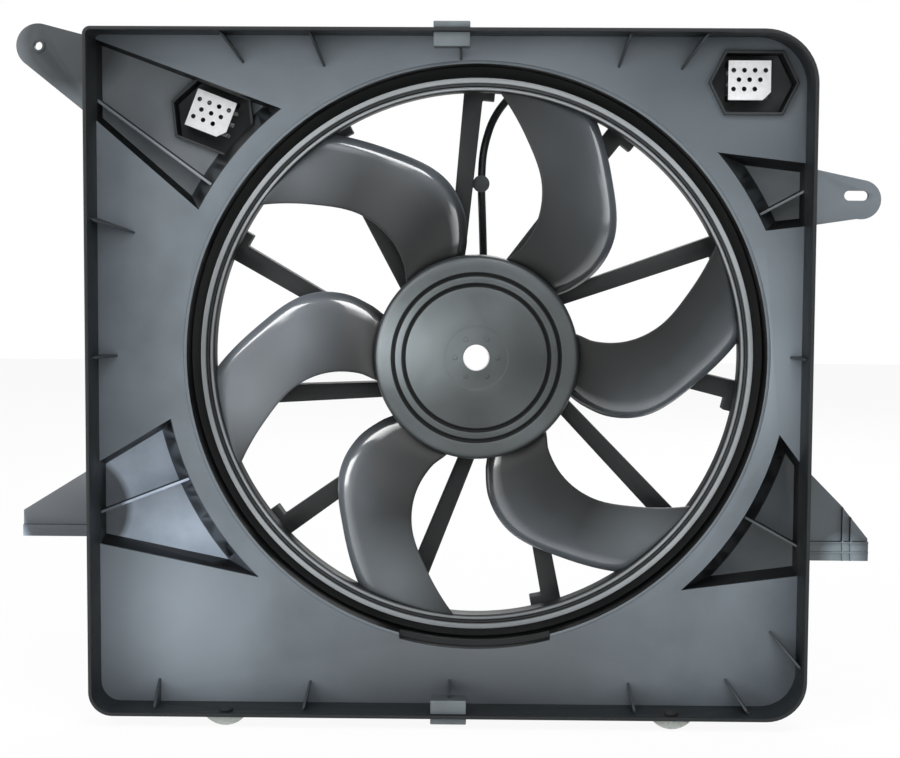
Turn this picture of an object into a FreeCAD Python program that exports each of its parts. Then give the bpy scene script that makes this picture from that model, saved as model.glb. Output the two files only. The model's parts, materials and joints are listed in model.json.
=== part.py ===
"""Engine cooling fan with its shroud, motor, speed resistors and lead.

Seen from the radiator side: +X right, +Z up, +Y away from the viewer, into the engine bay.
The origin is on the fan's axis, in the plane of the shroud's rim, which faces the radiator.
"""
import FreeCAD, Part
import Sketcher
import math
import os

os.makedirs("parts", exist_ok=True)
V = FreeCAD.Vector
doc = FreeCAD.newDocument("radiator_fan")


# Driving dimensions, in millimetres and degrees

SIZES = [
    # rim and plate of the shroud
    ("rim_left", 291, "fan axis to the rim's left outer face"),
    ("rim_right", 249.5, "fan axis to the rim's right outer face"),
    ("rim_top", 244, "fan axis to the rim's top outer face"),
    ("rim_bottom", 271, "fan axis to the rim's bottom outer face"),
    ("wall", 2.5, "wall of the shroud moulding"),
    ("plate_front", 38, "rim plane to the front of the shroud plate"),
    ("corner_large", 40, "rounding of the upper right corner"),
    ("corner_lower_left", 18, "rounding of the lower left corner"),
    ("corner_lower_right", 30, "rounding of the lower right corner"),
    ("corner_slight", 6, "rounding of the upper left corner"),
    # tunnel round the fan
    ("tunnel_bore", 221, "inner radius of the tunnel round the fan's band"),
    ("throat_bore", 205.5, "radius of the opening behind the fan"),
    ("flange_front", 65, "rim plane to the rear flange of the tunnel"),
    ("collar_rear", 86, "rim plane to the rear edge of the collar"),
    ("notch_half", 58, "half width of the drain notch under the tunnel"),
    ("notch_drop", 225.7, "fan axis to the round bottom of the drain notch"),
    ("notch_deep", 12, "depth of the drain notch"),
    # mounting channels
    ("upper_left_high", 241.5, "upper left channel: upper edge at the side wall"),
    ("upper_left_low", 176, "upper left channel: lower edge at the side wall"),
    ("upper_left_first", 127.4, "upper left channel: angle of the upper edge at the ring"),
    ("upper_left_last", 153.2, "upper left channel: angle of the lower edge at the ring"),
    ("upper_right_high", 150, "upper right channel: upper edge at the side wall"),
    ("upper_right_low", 98, "upper right channel: lower edge at the side wall"),
    ("upper_right_first", 42.3, "upper right channel: angle of the upper edge at the ring"),
    ("upper_right_last", 23.5, "upper right channel: angle of the lower edge at the ring"),
    ("lower_left_high", -81, "lower left channel: upper edge at the side wall"),
    ("lower_left_low", -148, "lower left channel: lower edge at the side wall"),
    ("lower_left_first", 191, "lower left channel: angle of the upper edge at the ring"),
    ("lower_left_last", 228, "lower left channel: angle of the lower edge at the ring"),
    ("lower_right_high", -78, "lower right channel: upper edge at the side wall"),
    ("lower_right_low", -169, "lower right channel: lower edge at the side wall"),
    ("lower_right_first", -12.8, "lower right channel: angle of the upper edge at the ring"),
    ("lower_right_last", -50.5, "lower right channel: angle of the lower edge at the ring"),
    ("ring_top", 236, "radius of the channels' inner edge at the plate"),
    ("ring_floor", 249, "radius of the channels' inner edge at their floor"),
    ("floor_front", 62.5, "rim plane to the front of the channels' floors"),
    ("upper_left_slope", 2.5, "upper left channel: how far its walls lean in towards its floor"),
    ("upper_right_slope", 6, "upper right channel: how far its walls lean in towards its floor"),
    ("lower_left_slope", 4, "lower left channel: how far its walls lean in towards its floor"),
    ("lower_right_slope", 3.5, "lower right channel: how far its walls lean in towards its floor"),
    ("divider_wall", 2, "thickness of the ribs across the channels"),
    ("arm_thick", 5, "thickness of the mounting arms"),
    ("upper_hole", 3.25, "radius of the upper left mounting hole"),
    ("upper_hole_x", 337, "fan axis to the mounting hole, to the left"),
    ("upper_hole_z", 235, "fan axis to the mounting hole, up"),
    ("upper_arm_end", 17, "radius of the upper left arm's end"),
    ("tab_slot_x", 290, "fan axis to the slot of the right tab"),
    ("tab_slot_z", 124, "fan axis to the slot of the right tab, up"),
    ("tab_slot_half", 3.75, "half width of the slot"),
    ("tab_slot_long", 18.5, "length of the slot"),
    ("tab_end", 15, "radius of the right tab's end"),
    ("ear_left", 352.5, "fan axis to the tip of the lower left ear"),
    ("ear_left_foot", 143.5, "fan axis down to the lower left ear's rest face"),
    ("ear_right", 304.5, "fan axis to the tip of the lower right ear"),
    ("ear_right_foot", 158, "fan axis down to the lower right ear's rest face"),
    ("ear_front", 57, "rim plane to the front of the ears' bases"),
    ("ear_deep", 20, "depth of the ears' rest faces"),
    # struts and motor ring
    ("strut_wide", 11.5, "width of a strut at the motor ring"),
    ("strut_front", 67.5, "rim plane to the front of the struts"),
    ("strut_end", 15, "width of a strut at the collar"),
    ("strut_lean", 22.6, "distance by which a strut passes the middle of the pattern of struts"),
    ("strut_drop", 1.8, "distance by which that pattern sits below the fan's axis"),
    ("strut_first", 90.9, "angle of the top strut's outer end"),
    ("strut_count", 11, "number of struts"),
    ("strut_wall", 2, "wall of a strut"),
    ("ring_gap", 2, "clearance of the motor can in the motor ring"),
    ("ring_wide", 14, "width of the motor ring, across its face"),
    ("ring_rear", 84, "rim plane to the rear face of the motor ring"),
    ("screw_shank", 2.5, "radius of a motor screw"),
    # fan
    ("hub_front", 25, "rim plane to the front of the fan hub"),
    ("hub_radius", 77.5, "outer radius of the fan hub"),
    ("hub_wall", 3, "wall of the fan hub"),
    ("hub_rear", 60, "rim plane to the rear edge of the fan hub"),
    ("hub_edge", 7, "rounding of the hub's front edge"),
    ("groove_inset", 14.5, "outside of the hub to its outer groove"),
    ("groove_step", 8, "distance between the hub's two grooves"),
    ("groove_wide", 2.4, "width of a groove"),
    ("groove_deep", 1.4, "depth of a groove"),
    ("dish_radius", 24, "radius of the shallow dish in the hub's middle"),
    ("dish_deep", 0.8, "depth of the dish"),
    ("band_inner", 200.5, "inner radius of the fan's band"),
    ("band_wall", 2.5, "wall of the fan's band"),
    ("band_lip", 211, "outer radius of the band's flared lip"),
    ("band_front", 43, "rim plane to the front of the lip"),
    ("band_rear", 61, "rim plane to the rear edge of the band"),
    ("blade_count", 6, "number of blades"),
    ("blade_thick", 3, "thickness of a blade"),
    # motor
    ("can_radius", 50, "outer radius of the motor can"),
    ("can_wall", 1.5, "sheet thickness of the motor can"),
    ("can_front", 50, "rim plane to the front face of the can"),
    ("can_rear", 110, "rim plane to the open end of the can"),
    ("bearing_radius", 11, "outer radius of the front bearing"),
    ("bearing_long", 7, "length of the front bearing"),
    ("shaft_radius", 4, "radius of the motor shaft"),
    ("shaft_front", 29, "rim plane to the front end of the shaft"),
    ("shaft_rear", 119.5, "rim plane to the rear end of the shaft"),
    ("cap_boss_rear", 122, "rim plane to the rear of the end cap's boss"),
    ("core_radius", 35, "radius of the armature core"),
    ("core_front", 60, "rim plane to the front of the armature core"),
    ("core_rear", 88, "rim plane to the rear of the armature core"),
    ("slot_count", 12, "number of winding slots"),
    ("air_gap", 1, "gap between the armature core and the magnets"),
    ("magnet_long", 40, "length of the field magnets"),
    ("commutator_radius", 13, "radius of the commutator"),
    ("commutator_front", 95, "rim plane to the front of the commutator"),
    ("commutator_long", 13, "length of the commutator"),
    ("brush_wide", 8, "width of a brush"),
    ("brush_thick", 6, "thickness of a brush"),
    ("brush_long", 15, "length of a brush"),
    ("brush_travel", 4, "way a brush can be pushed back in its holder"),
    ("spring_radius", 2.6, "radius of a brush spring"),
    ("spring_wire", 0.6, "wire of a brush spring"),
    ("spring_long", 11, "length of a brush spring as fitted"),
    ("nut_flats", 13, "width across the flats of the fan nut"),
    ("nut_thick", 6, "thickness of the fan nut"),
    ("insert_radius", 9, "radius of the steel insert in the hub"),
    ("boss_radius", 16, "radius of the hub's central boss"),
    ("boss_rear", 43, "rim plane to the rear of the hub's boss"),
    ("plug_radius", 10, "radius of the white plug in the hub's middle"),
    # resistors, lead and clips
    ("hex_half", 34, "half width of a resistor frame, corner to corner"),
    ("hex_flat", 22, "half width of a resistor frame's flat side"),
    ("hex_rise", 24, "half height of a resistor frame"),
    ("hex_deep", 26, "depth of a resistor frame"),
    ("guard_wide", 32, "width of a resistor guard"),
    ("guard_tall", 29.5, "height of a resistor guard"),
    ("guard_thick", 1, "sheet thickness of a resistor guard"),
    ("guard_hole", 1.8, "radius of the guard's holes"),
    ("left_resistor_x", 203, "fan axis to the left resistor, to the left"),
    ("left_resistor_z", 181, "fan axis to the left resistor, up"),
    ("left_resistor_turn", 21, "clockwise turn of the left resistor"),
    ("right_resistor_x", 207, "fan axis to the right resistor"),
    ("right_resistor_z", 207.5, "fan axis to the right resistor, up"),
    ("lead_radius", 3, "radius of the motor lead"),
    ("clip_wide", 27, "width of the rim clips"),
    ("clip_left", 33, "fan axis to the rim clips' left side"),
    ("clip_deep", 18, "depth of the rim clips"),
    ("pad_radius", 19.6, "radius of the lower pads"),
    ("pad_reach", 7, "reach of the lower pads under the rim"),
    ("pad_thick", 12, "thickness of the lower pads"),
    ("pad_left_x", 188, "fan axis to the left pad"),
    ("pad_right_x", 149, "fan axis to the right pad"),
    # fits
    ("seat_gap", 0.05, "clearance of pieces that sit in each other"),
    ("run_gap", 0.03, "radial running clearance of the shaft"),
    ("loose_gap", 0.3, "clearance of pieces that are only guided"),
]


class Size:
    """A length or an angle that knows its number and how it follows from the sheet."""

    def __init__(self, value, text):
        self.value = float(value)
        self.text = text

    def __add__(self, other):
        other = size(other)
        return Size(self.value + other.value, "(%s + %s)" % (self.text, other.text))

    def __radd__(self, other):
        return size(other) + self

    def __sub__(self, other):
        other = size(other)
        return Size(self.value - other.value, "(%s - %s)" % (self.text, other.text))

    def __rsub__(self, other):
        return size(other) - self

    def __mul__(self, factor):
        factor = size(factor)
        return Size(self.value * factor.value, "(%s * %s)" % (self.text, factor.text))

    def __truediv__(self, divisor):
        return Size(self.value / divisor, "(%s / %r)" % (self.text, divisor))

    def __neg__(self):
        return Size(-self.value, "(0 - %s)" % self.text)


def size(number):
    """A plain number as a Size, and a Size as it is."""
    return number if isinstance(number, Size) else Size(number, "%r" % number)


def cos_of(angle):
    """The cosine of an angle in degrees."""
    return Size(math.cos(math.radians(angle.value)), "cos(%s)" % angle.text)


def sin_of(angle):
    """The sine of an angle in degrees."""
    return Size(math.sin(math.radians(angle.value)), "sin(%s)" % angle.text)


class Sheet:
    """The driving dimensions, each under its own name."""


sheet = doc.addObject("Spreadsheet::Sheet", "sizes")
d = Sheet()
for row, (alias, number, meaning) in enumerate(SIZES, start=1):
    sheet.set("A%d" % row, alias)
    sheet.set("B%d" % row, str(number))
    sheet.set("C%d" % row, meaning)
    sheet.setAlias("B%d" % row, alias)
    setattr(d, alias, Size(number, "sizes." + alias))
doc.recompute()

ZERO = Size(0, "0")
OVERRUN = 5
ALONG_Y = FreeCAD.Rotation(V(1, 0, 0), -90)


# Ways to make a piece

def bind(thing, **values):
    """Set each property and tie it to the sheet."""
    for name, value in values.items():
        value = size(value)
        setattr(thing, name, value.value)
        thing.setExpression(name, value.text)
    return thing


def place(thing, x=ZERO, y=ZERO, z=ZERO, turn=None):
    """Put a thing at a place that follows the sheet."""
    spot = [size(x), size(y), size(z)]
    thing.Placement = FreeCAD.Placement(V(*[s.value for s in spot]), turn or FreeCAD.Rotation())
    for axis, value in zip("xyz", spot):
        if "sizes." in value.text:
            thing.setExpression("Placement.Base." + axis, value.text)
    return thing


def rod(name, radius, front, rear, x=ZERO, z=ZERO):
    """A round bar along the fan's axis, from front to rear."""
    bar = doc.addObject("Part::Cylinder", name)
    bind(bar, Radius=radius, Height=size(rear) - front)
    return place(bar, x, front, z, ALONG_Y)


def pin(name, radius, low, high, x, y):
    """A round bar that stands upright, from low to high."""
    bar = doc.addObject("Part::Cylinder", name)
    bind(bar, Radius=radius, Height=size(high) - low)
    return place(bar, x, y, low)


def block(name, x, y, z):
    """A block between two places on each axis."""
    box = doc.addObject("Part::Box", name)
    bind(box, Length=size(x[1]) - x[0], Width=size(y[1]) - y[0], Height=size(z[1]) - z[0])
    return place(box, x[0], y[0], z[0])


def cut(name, base, *tools):
    """One piece less the others."""
    result = base
    for number, tool in enumerate(tools, start=1):
        last = number == len(tools)
        step = doc.addObject("Part::Cut", name if last else "%s_cut_%d" % (name, number))
        step.Base = result
        step.Tool = tool
        result = step
    return result


def fuse(name, *pieces):
    """Several pieces as one solid."""
    whole = doc.addObject("Part::MultiFuse", name)
    whole.Shapes = list(pieces)
    whole.Refine = True
    return whole


def common(name, first, second):
    """What two pieces share."""
    shared = doc.addObject("Part::Common", name)
    shared.Base = first
    shared.Tool = second
    return shared


def group(name, pieces):
    """Separate solids that belong together."""
    bundle = doc.addObject("Part::Compound", name)
    bundle.Links = list(pieces)
    return bundle


def draw(sketch, corners):
    """A closed outline of straight sides, each corner tied to the sheet."""
    corners = [(size(u), size(v)) for u, v in corners]
    count = len(corners)
    spots = [V(u.value, v.value, 0) for u, v in corners]
    for number in range(count):
        sketch.addGeometry(Part.LineSegment(spots[number], spots[(number + 1) % count]), False)
    for number, (u, v) in enumerate(corners):
        sketch.addConstraint(Sketcher.Constraint("Coincident", number, 2, (number + 1) % count, 1))
        for kind, value, axis in (("DistanceX", u, -2), ("DistanceY", v, -1)):
            if value.value == 0:
                sketch.addConstraint(Sketcher.Constraint("PointOnObject", number, 1, axis))
                continue
            index = sketch.addConstraint(Sketcher.Constraint(kind, -1, 1, number, 1, value.value))
            if "sizes." in value.text:
                sketch.setExpression("Constraints[%d]" % index, value.text)
    return sketch


def origin_plane(body, role):
    """One of a body's own origin planes."""
    return next(f for f in body.Origin.OriginFeatures if f.Role == role)


def turned(name, profile):
    """A body turned about the fan's axis from (radius, place along the axis) corners."""
    body = doc.addObject("PartDesign::Body", name)
    sketch = body.newObject("Sketcher::SketchObject", name + "_profile")
    sketch.AttachmentSupport = [(origin_plane(body, "XY_Plane"), "")]
    sketch.MapMode = "FlatFace"
    draw(sketch, profile)
    turn = body.newObject("PartDesign::Revolution", name + "_turn")
    turn.Profile = sketch
    turn.ReferenceAxis = (sketch, ["V_Axis"])
    turn.Angle = 360
    return body


def prism(name, corners, front, rear):
    """A body with an outline in the XZ plane, as deep as from front to rear."""
    body = doc.addObject("PartDesign::Body", name)
    sketch = body.newObject("Sketcher::SketchObject", name + "_outline")
    sketch.AttachmentSupport = [(origin_plane(body, "XZ_Plane"), "")]
    sketch.MapMode = "FlatFace"
    draw(sketch, corners)
    pad = body.newObject("PartDesign::Pad", name + "_pad")
    pad.Profile = sketch
    pad.Reversed = True
    bind(pad, Length=size(rear) - front)
    return place(body, y=front)


def tapered(name, near, far, front, rear):
    """A solid between two outlines in XZ planes, the first at the front and the second at the rear."""
    outlines = []
    for end, corners, depth in (("near", near, front), ("far", far, rear)):
        outline = doc.addObject("Sketcher::SketchObject", "%s_%s" % (name, end))
        place(outline, y=depth, turn=FreeCAD.Rotation(V(1, 0, 0), 90))
        outlines.append(draw(outline, corners))
    solid = doc.addObject("Part::Loft", name)
    solid.Sections = outlines
    solid.Solid = True
    solid.Ruled = True
    return solid


def round_edges(body, radii):
    """Round a prism's edges along Y: one radius for each listed corner (x, z)."""
    doc.recompute()
    for number, (x, z, radius) in enumerate(radii):
        base = body.Tip
        names = []
        for index, edge in enumerate(base.Shape.Edges, start=1):
            ends = [v.Point for v in edge.Vertexes]
            if len(ends) == 2 and all(math.hypot(p.x - size(x).value, p.z - size(z).value) < 0.01 for p in ends):
                names.append("Edge%d" % index)
        fillet = body.newObject("PartDesign::Fillet", "%s_round_%d" % (body.Name, number))
        fillet.Base = (base, names)
        bind(fillet, Radius=radius)
        doc.recompute()
    return body


def about_axis(angle):
    """A turn about the fan's axis, counter-clockwise seen from the front."""
    return FreeCAD.Rotation(V(0, -1, 0), angle)


def swing(thing, angle):
    """Turn a thing about the fan's axis from where it stands."""
    thing.Placement = FreeCAD.Placement(V(0, 0, 0), about_axis(angle)).multiply(thing.Placement)
    for axis in "xyz":
        thing.setExpression("Placement.Base." + axis, None)
    return thing


def span(start, end, high):
    """Two places up from the axis, or the same two below it."""
    return (start, end) if high else (-size(end), -size(start))


# Shroud: rim wall, plate and gussets

plate_rear = d.plate_front + d.wall
left_in = -(d.rim_left - d.wall)
right_in = d.rim_right - d.wall
top_in = d.rim_top - d.wall
bottom_in = -(d.rim_bottom - d.wall)
ring_inner = d.can_radius + d.ring_gap
ring_outer = ring_inner + d.ring_wide
screw_circle = (ring_inner + ring_outer) / 2


def rim_shape(name, inset, front, rear):
    """The rim's rounded outline, moved inwards by a wall."""
    left, right = -(d.rim_left - inset), d.rim_right - inset
    top, bottom = d.rim_top - inset, -(d.rim_bottom - inset)
    body = prism(name, [(left, bottom), (right, bottom), (right, top), (left, top)], front, rear)
    return round_edges(body, [(right, top, d.corner_large - inset), (left, bottom, d.corner_lower_left - inset),
                              (right, bottom, d.corner_lower_right - inset), (left, top, d.corner_slight - inset)])


CLIP_NECK = 3
CLIP_INSIDE = 11
CLIP_OUTSIDE = 5
clip_right = d.clip_wide - d.clip_left
clip_front = size(3)
clip_neck_x = (-d.clip_left + CLIP_NECK, clip_right - CLIP_NECK)
clip_neck_y = (clip_front + CLIP_NECK, clip_front + d.clip_deep - CLIP_NECK)
pad_stem = size(3)
pad_front = size(4)
pad_middle = pad_front + d.pad_thick / 2


def shroud_rim():
    """The wall round the shroud, with windows for the two clips and holes for the pads' stems."""
    outer = rim_shape("rim_outer", ZERO, ZERO, plate_rear)
    inner = rim_shape("rim_inner", d.wall, -OVERRUN, plate_rear + OVERRUN)
    gap = d.loose_gap
    windows = [block("window_%s" % side, (clip_neck_x[0] - gap, clip_neck_x[1] + gap),
                     (clip_neck_y[0] - gap, clip_neck_y[1] + gap), through)
               for side, through in (("top", (top_in - 1, d.rim_top + 1)),
                                     ("bottom", (-d.rim_bottom - 1, bottom_in + 1)))]
    holes = [pin("pad_hole_%s" % side, pad_stem + gap, -d.rim_bottom - 1, bottom_in + 1, x, pad_middle)
             for side, x in (("left", -d.pad_left_x), ("right", d.pad_right_x))]
    return cut("shroud_rim", outer, inner, *(windows + holes))


# Each channel runs from a side wall to the ring round the fan.
CHANNELS = ("upper_left", "upper_right", "lower_left", "lower_right")


def channel_outline(name, inset=0.0, wall_inset=0.0):
    """The four corners of a channel, its long sides moved inwards and its end at the side wall too."""
    left = name.endswith("left")
    wall_x = -d.rim_left if left else d.rim_right
    first, last = getattr(d, name + "_first"), getattr(d, name + "_last")
    high, low = getattr(d, name + "_high"), getattr(d, name + "_low")
    upper, lower = [(cos_of(angle) * d.ring_top, sin_of(angle) * d.ring_top) for angle in (first, last)]
    inward = 1 if left else -1
    corners = []
    for (x, z), end_z, side in ((upper, high, -1), (lower, low, 1)):
        slope = (z.value - end_z.value) / (x.value - wall_x.value)
        drop = side * inset * math.hypot(1, slope)
        end_x = wall_x + inward * wall_inset
        corners.append([(end_x, end_z + drop + inward * wall_inset * slope), (x, z + drop)])
    (upper_wall, upper_ring), (lower_wall, lower_ring) = corners
    return [upper_wall, upper_ring, lower_ring, lower_wall]


def ring_cone(name, extra, front, rear):
    """The space round the fan that a channel's sloped wall keeps clear, a wall larger if asked."""
    slope = (d.ring_floor.value - d.ring_top.value) / (d.floor_front.value - plate_rear.value)
    near = d.ring_top.value + extra + slope * (front.value - plate_rear.value)
    far = d.ring_top.value + extra + slope * (rear.value - plate_rear.value)
    cone = doc.addObject("Part::Cone", name)
    cone.Radius1 = near
    cone.Radius2 = far
    bind(cone, Height=rear - front)
    return place(cone, y=front, turn=ALONG_Y)


NOTCH_TOP = 20


def notch_room(name, half, reach, front, rear, top):
    """The drain notch's room under the tunnel: straight sides and a bottom round the fan's axis."""
    box = block(name + "_box", (-half, half), (front, rear), (-reach - OVERRUN, top - d.tunnel_bore))
    return common(name, box, rod(name + "_round", reach, front, rear))


def shroud_plate():
    """The flat plate inside the rim, open round the fan and over the channels and one resistor."""
    blank = rim_shape("plate_blank", d.wall, d.plate_front, plate_rear)
    opening = rod("plate_opening", d.tunnel_bore + d.wall, d.plate_front - OVERRUN, plate_rear + OVERRUN)
    notch = notch_room("plate_notch", d.notch_half, d.notch_drop, d.plate_front - OVERRUN, plate_rear + OVERRUN,
                       NOTCH_TOP)
    keep = rod("plate_ring", d.ring_top + d.wall, d.plate_front - OVERRUN, plate_rear + OVERRUN)
    mouths = []
    for name in CHANNELS:
        mouth = prism("mouth_" + name, channel_outline(name, d.wall.value, d.wall.value),
                      d.plate_front - OVERRUN, plate_rear + OVERRUN)
        mouths.append(cut("mouth_trim_" + name, mouth, keep))
    seat = hexagon("plate_seat", -d.seat_gap, d.plate_front - OVERRUN, plate_rear + OVERRUN)
    place(seat, d.right_resistor_x, d.plate_front - OVERRUN, d.right_resistor_z)
    return cut("shroud_plate", blank, opening, notch, seat, *mouths)


# Gussets between the rim and the plate: the wall or clip each starts at, its place along that wall,
# its length along the plate and its direction.
GUSSETS = [
    ("top", -190, 25, -55), ("top", -124, 25, -68), ("top", 114, 25, -108), ("top", 171, 31, -125),
    ("left", 104, 31, -20), ("left", 0, 15, 0), ("right", 0, 9, 180), ("right", -235, 33, 131),
    ("bottom", -244, 18, 90), ("bottom", -131, 18, 78), ("bottom", 121, 18, 102), ("bottom", 207, 26, 126),
    ("top clip", -12, 7, -90), ("bottom clip", -20, 8, 90),
]
GUSSET_HIGH = 26
GUSSET_THICK = 2
GUSSET_TIP = 3


def wall_gussets():
    """Thin triangular ribs that brace the rim against the plate."""
    tray = rim_shape("gusset_space", d.wall, ZERO, d.plate_front)
    below = CLIP_INSIDE + d.loose_gap
    starts = {"left": left_in, "right": right_in, "top": top_in, "bottom": bottom_in,
              "top clip": top_in - below, "bottom clip": bottom_in + below}
    ribs = []
    for number, (wall, place_along, reach, angle) in enumerate(GUSSETS, start=1):
        x, z = (starts[wall], place_along) if wall in ("left", "right") else (place_along, starts[wall])
        along = V(math.cos(math.radians(angle)), 0, math.sin(math.radians(angle)))
        rib = doc.addObject("Part::Wedge", "gusset_%d" % number)
        back = 0 if "clip" in wall else d.wall.value
        rib.Xmin, rib.Xmax, rib.X2min, rib.X2max = -back, reach, -back, GUSSET_TIP
        rib.Ymin, rib.Ymax = 0, GUSSET_HIGH
        rib.Zmin, rib.Z2min, rib.Zmax, rib.Z2max = 0, 0, GUSSET_THICK, GUSSET_THICK
        place(rib, x, d.plate_front, z, FreeCAD.Rotation(along, V(0, -1, 0), along.cross(V(0, -1, 0)), "XYZ"))
        ribs.append(common("gusset_trim_%d" % number, rib, tray))
    return group("wall_gussets", ribs)


# The rib across each channel: its height over the channel's lower edge at the side wall, and its
# angle at the ring.
DIVIDERS = {"upper_left": (19.5, 147.2), "upper_right": (28.7, 26.7), "lower_left": (25.8, 203.3),
            "lower_right": (21.9, -30.9)}
DIVIDER_LOW = 6


def divider(name, hollow):
    """The rib across a channel, lower than the plate, trimmed to the channel's hollow."""
    rise, angle = DIVIDERS[name]
    wall_x = -d.rim_left if name.endswith("left") else d.rim_right
    start = V(wall_x.value, d.plate_front.value + DIVIDER_LOW, getattr(d, name + "_low").value + rise)
    ring = V(math.cos(math.radians(angle)), 0, math.sin(math.radians(angle))) * d.ring_top.value
    along = V(ring.x - start.x, 0, ring.z - start.z)
    rib = doc.addObject("Part::Box", "divider_" + name)
    bind(rib, Width=d.divider_wall, Height=d.floor_front - d.plate_front - DIVIDER_LOW)
    rib.Length = along.Length + 2 * OVERRUN
    along.normalize()
    turn = FreeCAD.Rotation(along, along.cross(V(0, 1, 0)) * -1, V(0, 1, 0), "ZXY")
    rib.Placement = FreeCAD.Placement(start - along * OVERRUN, turn)
    return common("divider_trim_" + name, rib, hollow)


def mount_channel(name, arm_parts, arm_cuts):
    """A deep channel from a side wall to the tunnel, with the mounting arm outside the wall."""
    floor_rear = d.floor_front + d.wall
    wall, slope = d.wall.value, getattr(d, name + "_slope").value
    past = slope * OVERRUN / (d.floor_front.value - plate_rear.value)
    outer = tapered("channel_" + name, channel_outline(name), channel_outline(name, slope), plate_rear, floor_rear)
    hollow = tapered("hollow_" + name, channel_outline(name, wall - past, wall),
                     channel_outline(name, wall + slope, wall), plate_rear - OVERRUN, d.floor_front)
    outer = cut("channel_trim_" + name, outer,
                ring_cone("cone_" + name, 0, plate_rear - OVERRUN, floor_rear + OVERRUN))
    hollow = cut("hollow_trim_" + name, hollow,
                 ring_cone("cone_in_" + name, d.wall.value, plate_rear - 2 * OVERRUN, floor_rear + OVERRUN))
    shell = cut("shell_" + name, outer, hollow)
    whole = fuse("arm_" + name if arm_cuts else "channel_mount_" + name, shell, *arm_parts, divider(name, hollow))
    return cut("channel_mount_" + name, whole, *arm_cuts) if arm_cuts else whole


def hexagon(name, inset, front, rear):
    """The outline of a resistor frame, moved inwards, about the frame's own middle."""
    half, flat, rise = d.hex_half - inset, d.hex_flat - inset * 0.6, d.hex_rise - inset
    corners = [(-half, 0), (-flat, -rise), (flat, -rise), (half, 0), (flat, rise), (-flat, rise)]
    return prism(name, corners, front, rear)


def strut_angle(number):
    """The turn of a strut about the fan's axis, so that its outer end is where it should be."""
    lean = math.degrees(math.asin(d.strut_lean.value / d.throat_bore.value))
    return d.strut_first.value - 360 / d.strut_count.value * number - lean


def strut_lean(number):
    """How far a strut passes the fan's axis: its lean, less its share of the pattern's drop."""
    return d.strut_lean - d.strut_drop * math.cos(math.radians(strut_angle(number)))


def strut_bar(name, number, start, end, inset, front, rear):
    """A strut's tapered outline between two distances from the axis, moved in by an inset."""
    first, last = ring_outer * 0.8, d.throat_bore + 2
    middle = strut_lean(number)
    corners = []
    for reach in (start, end):
        share = (reach.value - first.value) / (last.value - first.value)
        half = d.strut_wide * ((1 - share) / 2) + d.strut_end * (share / 2) - inset
        corners += [(reach, middle - half), (reach, middle + half)]
    near_low, near_high, far_low, far_high = corners
    return prism(name, [near_low, far_low, far_high, near_high], front, rear)


def struts():
    """The hollow, tapered struts that lean round the motor, each with a small foot at the collar."""
    space = cut("strut_space", rod("strut_space_outer", d.throat_bore, d.strut_front, d.collar_rear),
                rod("strut_space_inner", ring_outer, d.strut_front - OVERRUN, d.collar_rear + OVERRUN))
    end_reach = d.throat_bore + 2
    bars = []
    for number in range(int(d.strut_count.value)):
        bar = strut_bar("strut_%d" % number, number, ring_outer * 0.8, end_reach, ZERO, d.strut_front, d.ring_rear)
        hollow = strut_bar("strut_hollow_%d" % number, number, ring_outer + 4, d.throat_bore - 12, d.strut_wall,
                           d.strut_front + d.strut_wall, d.ring_rear + 1)
        side = strut_lean(number) - d.strut_end / 2
        foot = block("strut_foot_%d" % number, (d.throat_bore - 10, end_reach), (d.strut_front, d.ring_rear),
                     (side - 9, side + 1))
        body = fuse("strut_body_%d" % number, cut("strut_u_%d" % number, bar, hollow), foot)
        trimmed = common("strut_trim_%d" % number, body, space)
        bars.append(swing(group("strut_turned_%d" % number, [trimmed]), strut_angle(number)))
    return group("struts", bars)


# Fan: one moulding of hub, blades and band

# A blade at stations from hub to band: share of the span, angles of the leading and the trailing
# edge, and how far the leading edge stands in front of the trailing edge.
BLADE = [
    (-0.05, 17.0, -21.5, 28.0), (0.10, 8.2, -24.6, 27.5), (0.28, 6.3, -24.4, 25.8),
    (0.50, 9.5, -19.0, 22.5), (0.75, 17.5, -7.0, 18.2), (1.04, 26.5, 5.0, 14.0),
]
blade_rear = d.hub_rear - 0.5


def blade_section(share, lead, trail, rise):
    """One closed section of a blade, in the plane through its leading and trailing edge."""
    radius = d.hub_radius.value + share * (d.band_inner.value - d.hub_radius.value)
    half = math.radians(lead - trail) / 2
    middle = math.radians(lead + trail) / 2
    away = V(math.cos(middle), 0, math.sin(middle))
    ahead = V(-math.sin(middle), 0, math.cos(middle))
    reach, chord = radius * math.cos(half), radius * math.sin(half)
    front = blade_rear.value - rise

    def spot(share_of_chord, lift):
        """A point of the section: 0 at the leading edge, 1 at the trailing edge."""
        bend = 0.55 * share_of_chord + 0.45 * share_of_chord ** 2
        return away * reach + ahead * (chord * (1 - 2 * share_of_chord)) + V(0, front + rise * bend + lift, 0)

    steps = [0.0, 0.1, 0.3, 0.55, 0.8, 1.0]
    body = [0.25, 0.8, 1.0, 1.0, 0.75, 0.25]
    thick = d.blade_thick.value / 2
    face = Part.BSplineCurve()
    face.interpolate([spot(s, -thick * b) for s, b in zip(steps, body)])
    back = Part.BSplineCurve()
    back.interpolate([spot(s, thick * b) for s, b in zip(steps, body)])
    nose = Part.LineSegment(spot(0.0, thick * body[0]), spot(0.0, -thick * body[0]))
    tail = Part.LineSegment(spot(1.0, -thick * body[-1]), spot(1.0, thick * body[-1]))
    return Part.Wire([nose.toShape(), face.toShape(), tail.toShape(), back.toShape().reversed()])


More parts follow.
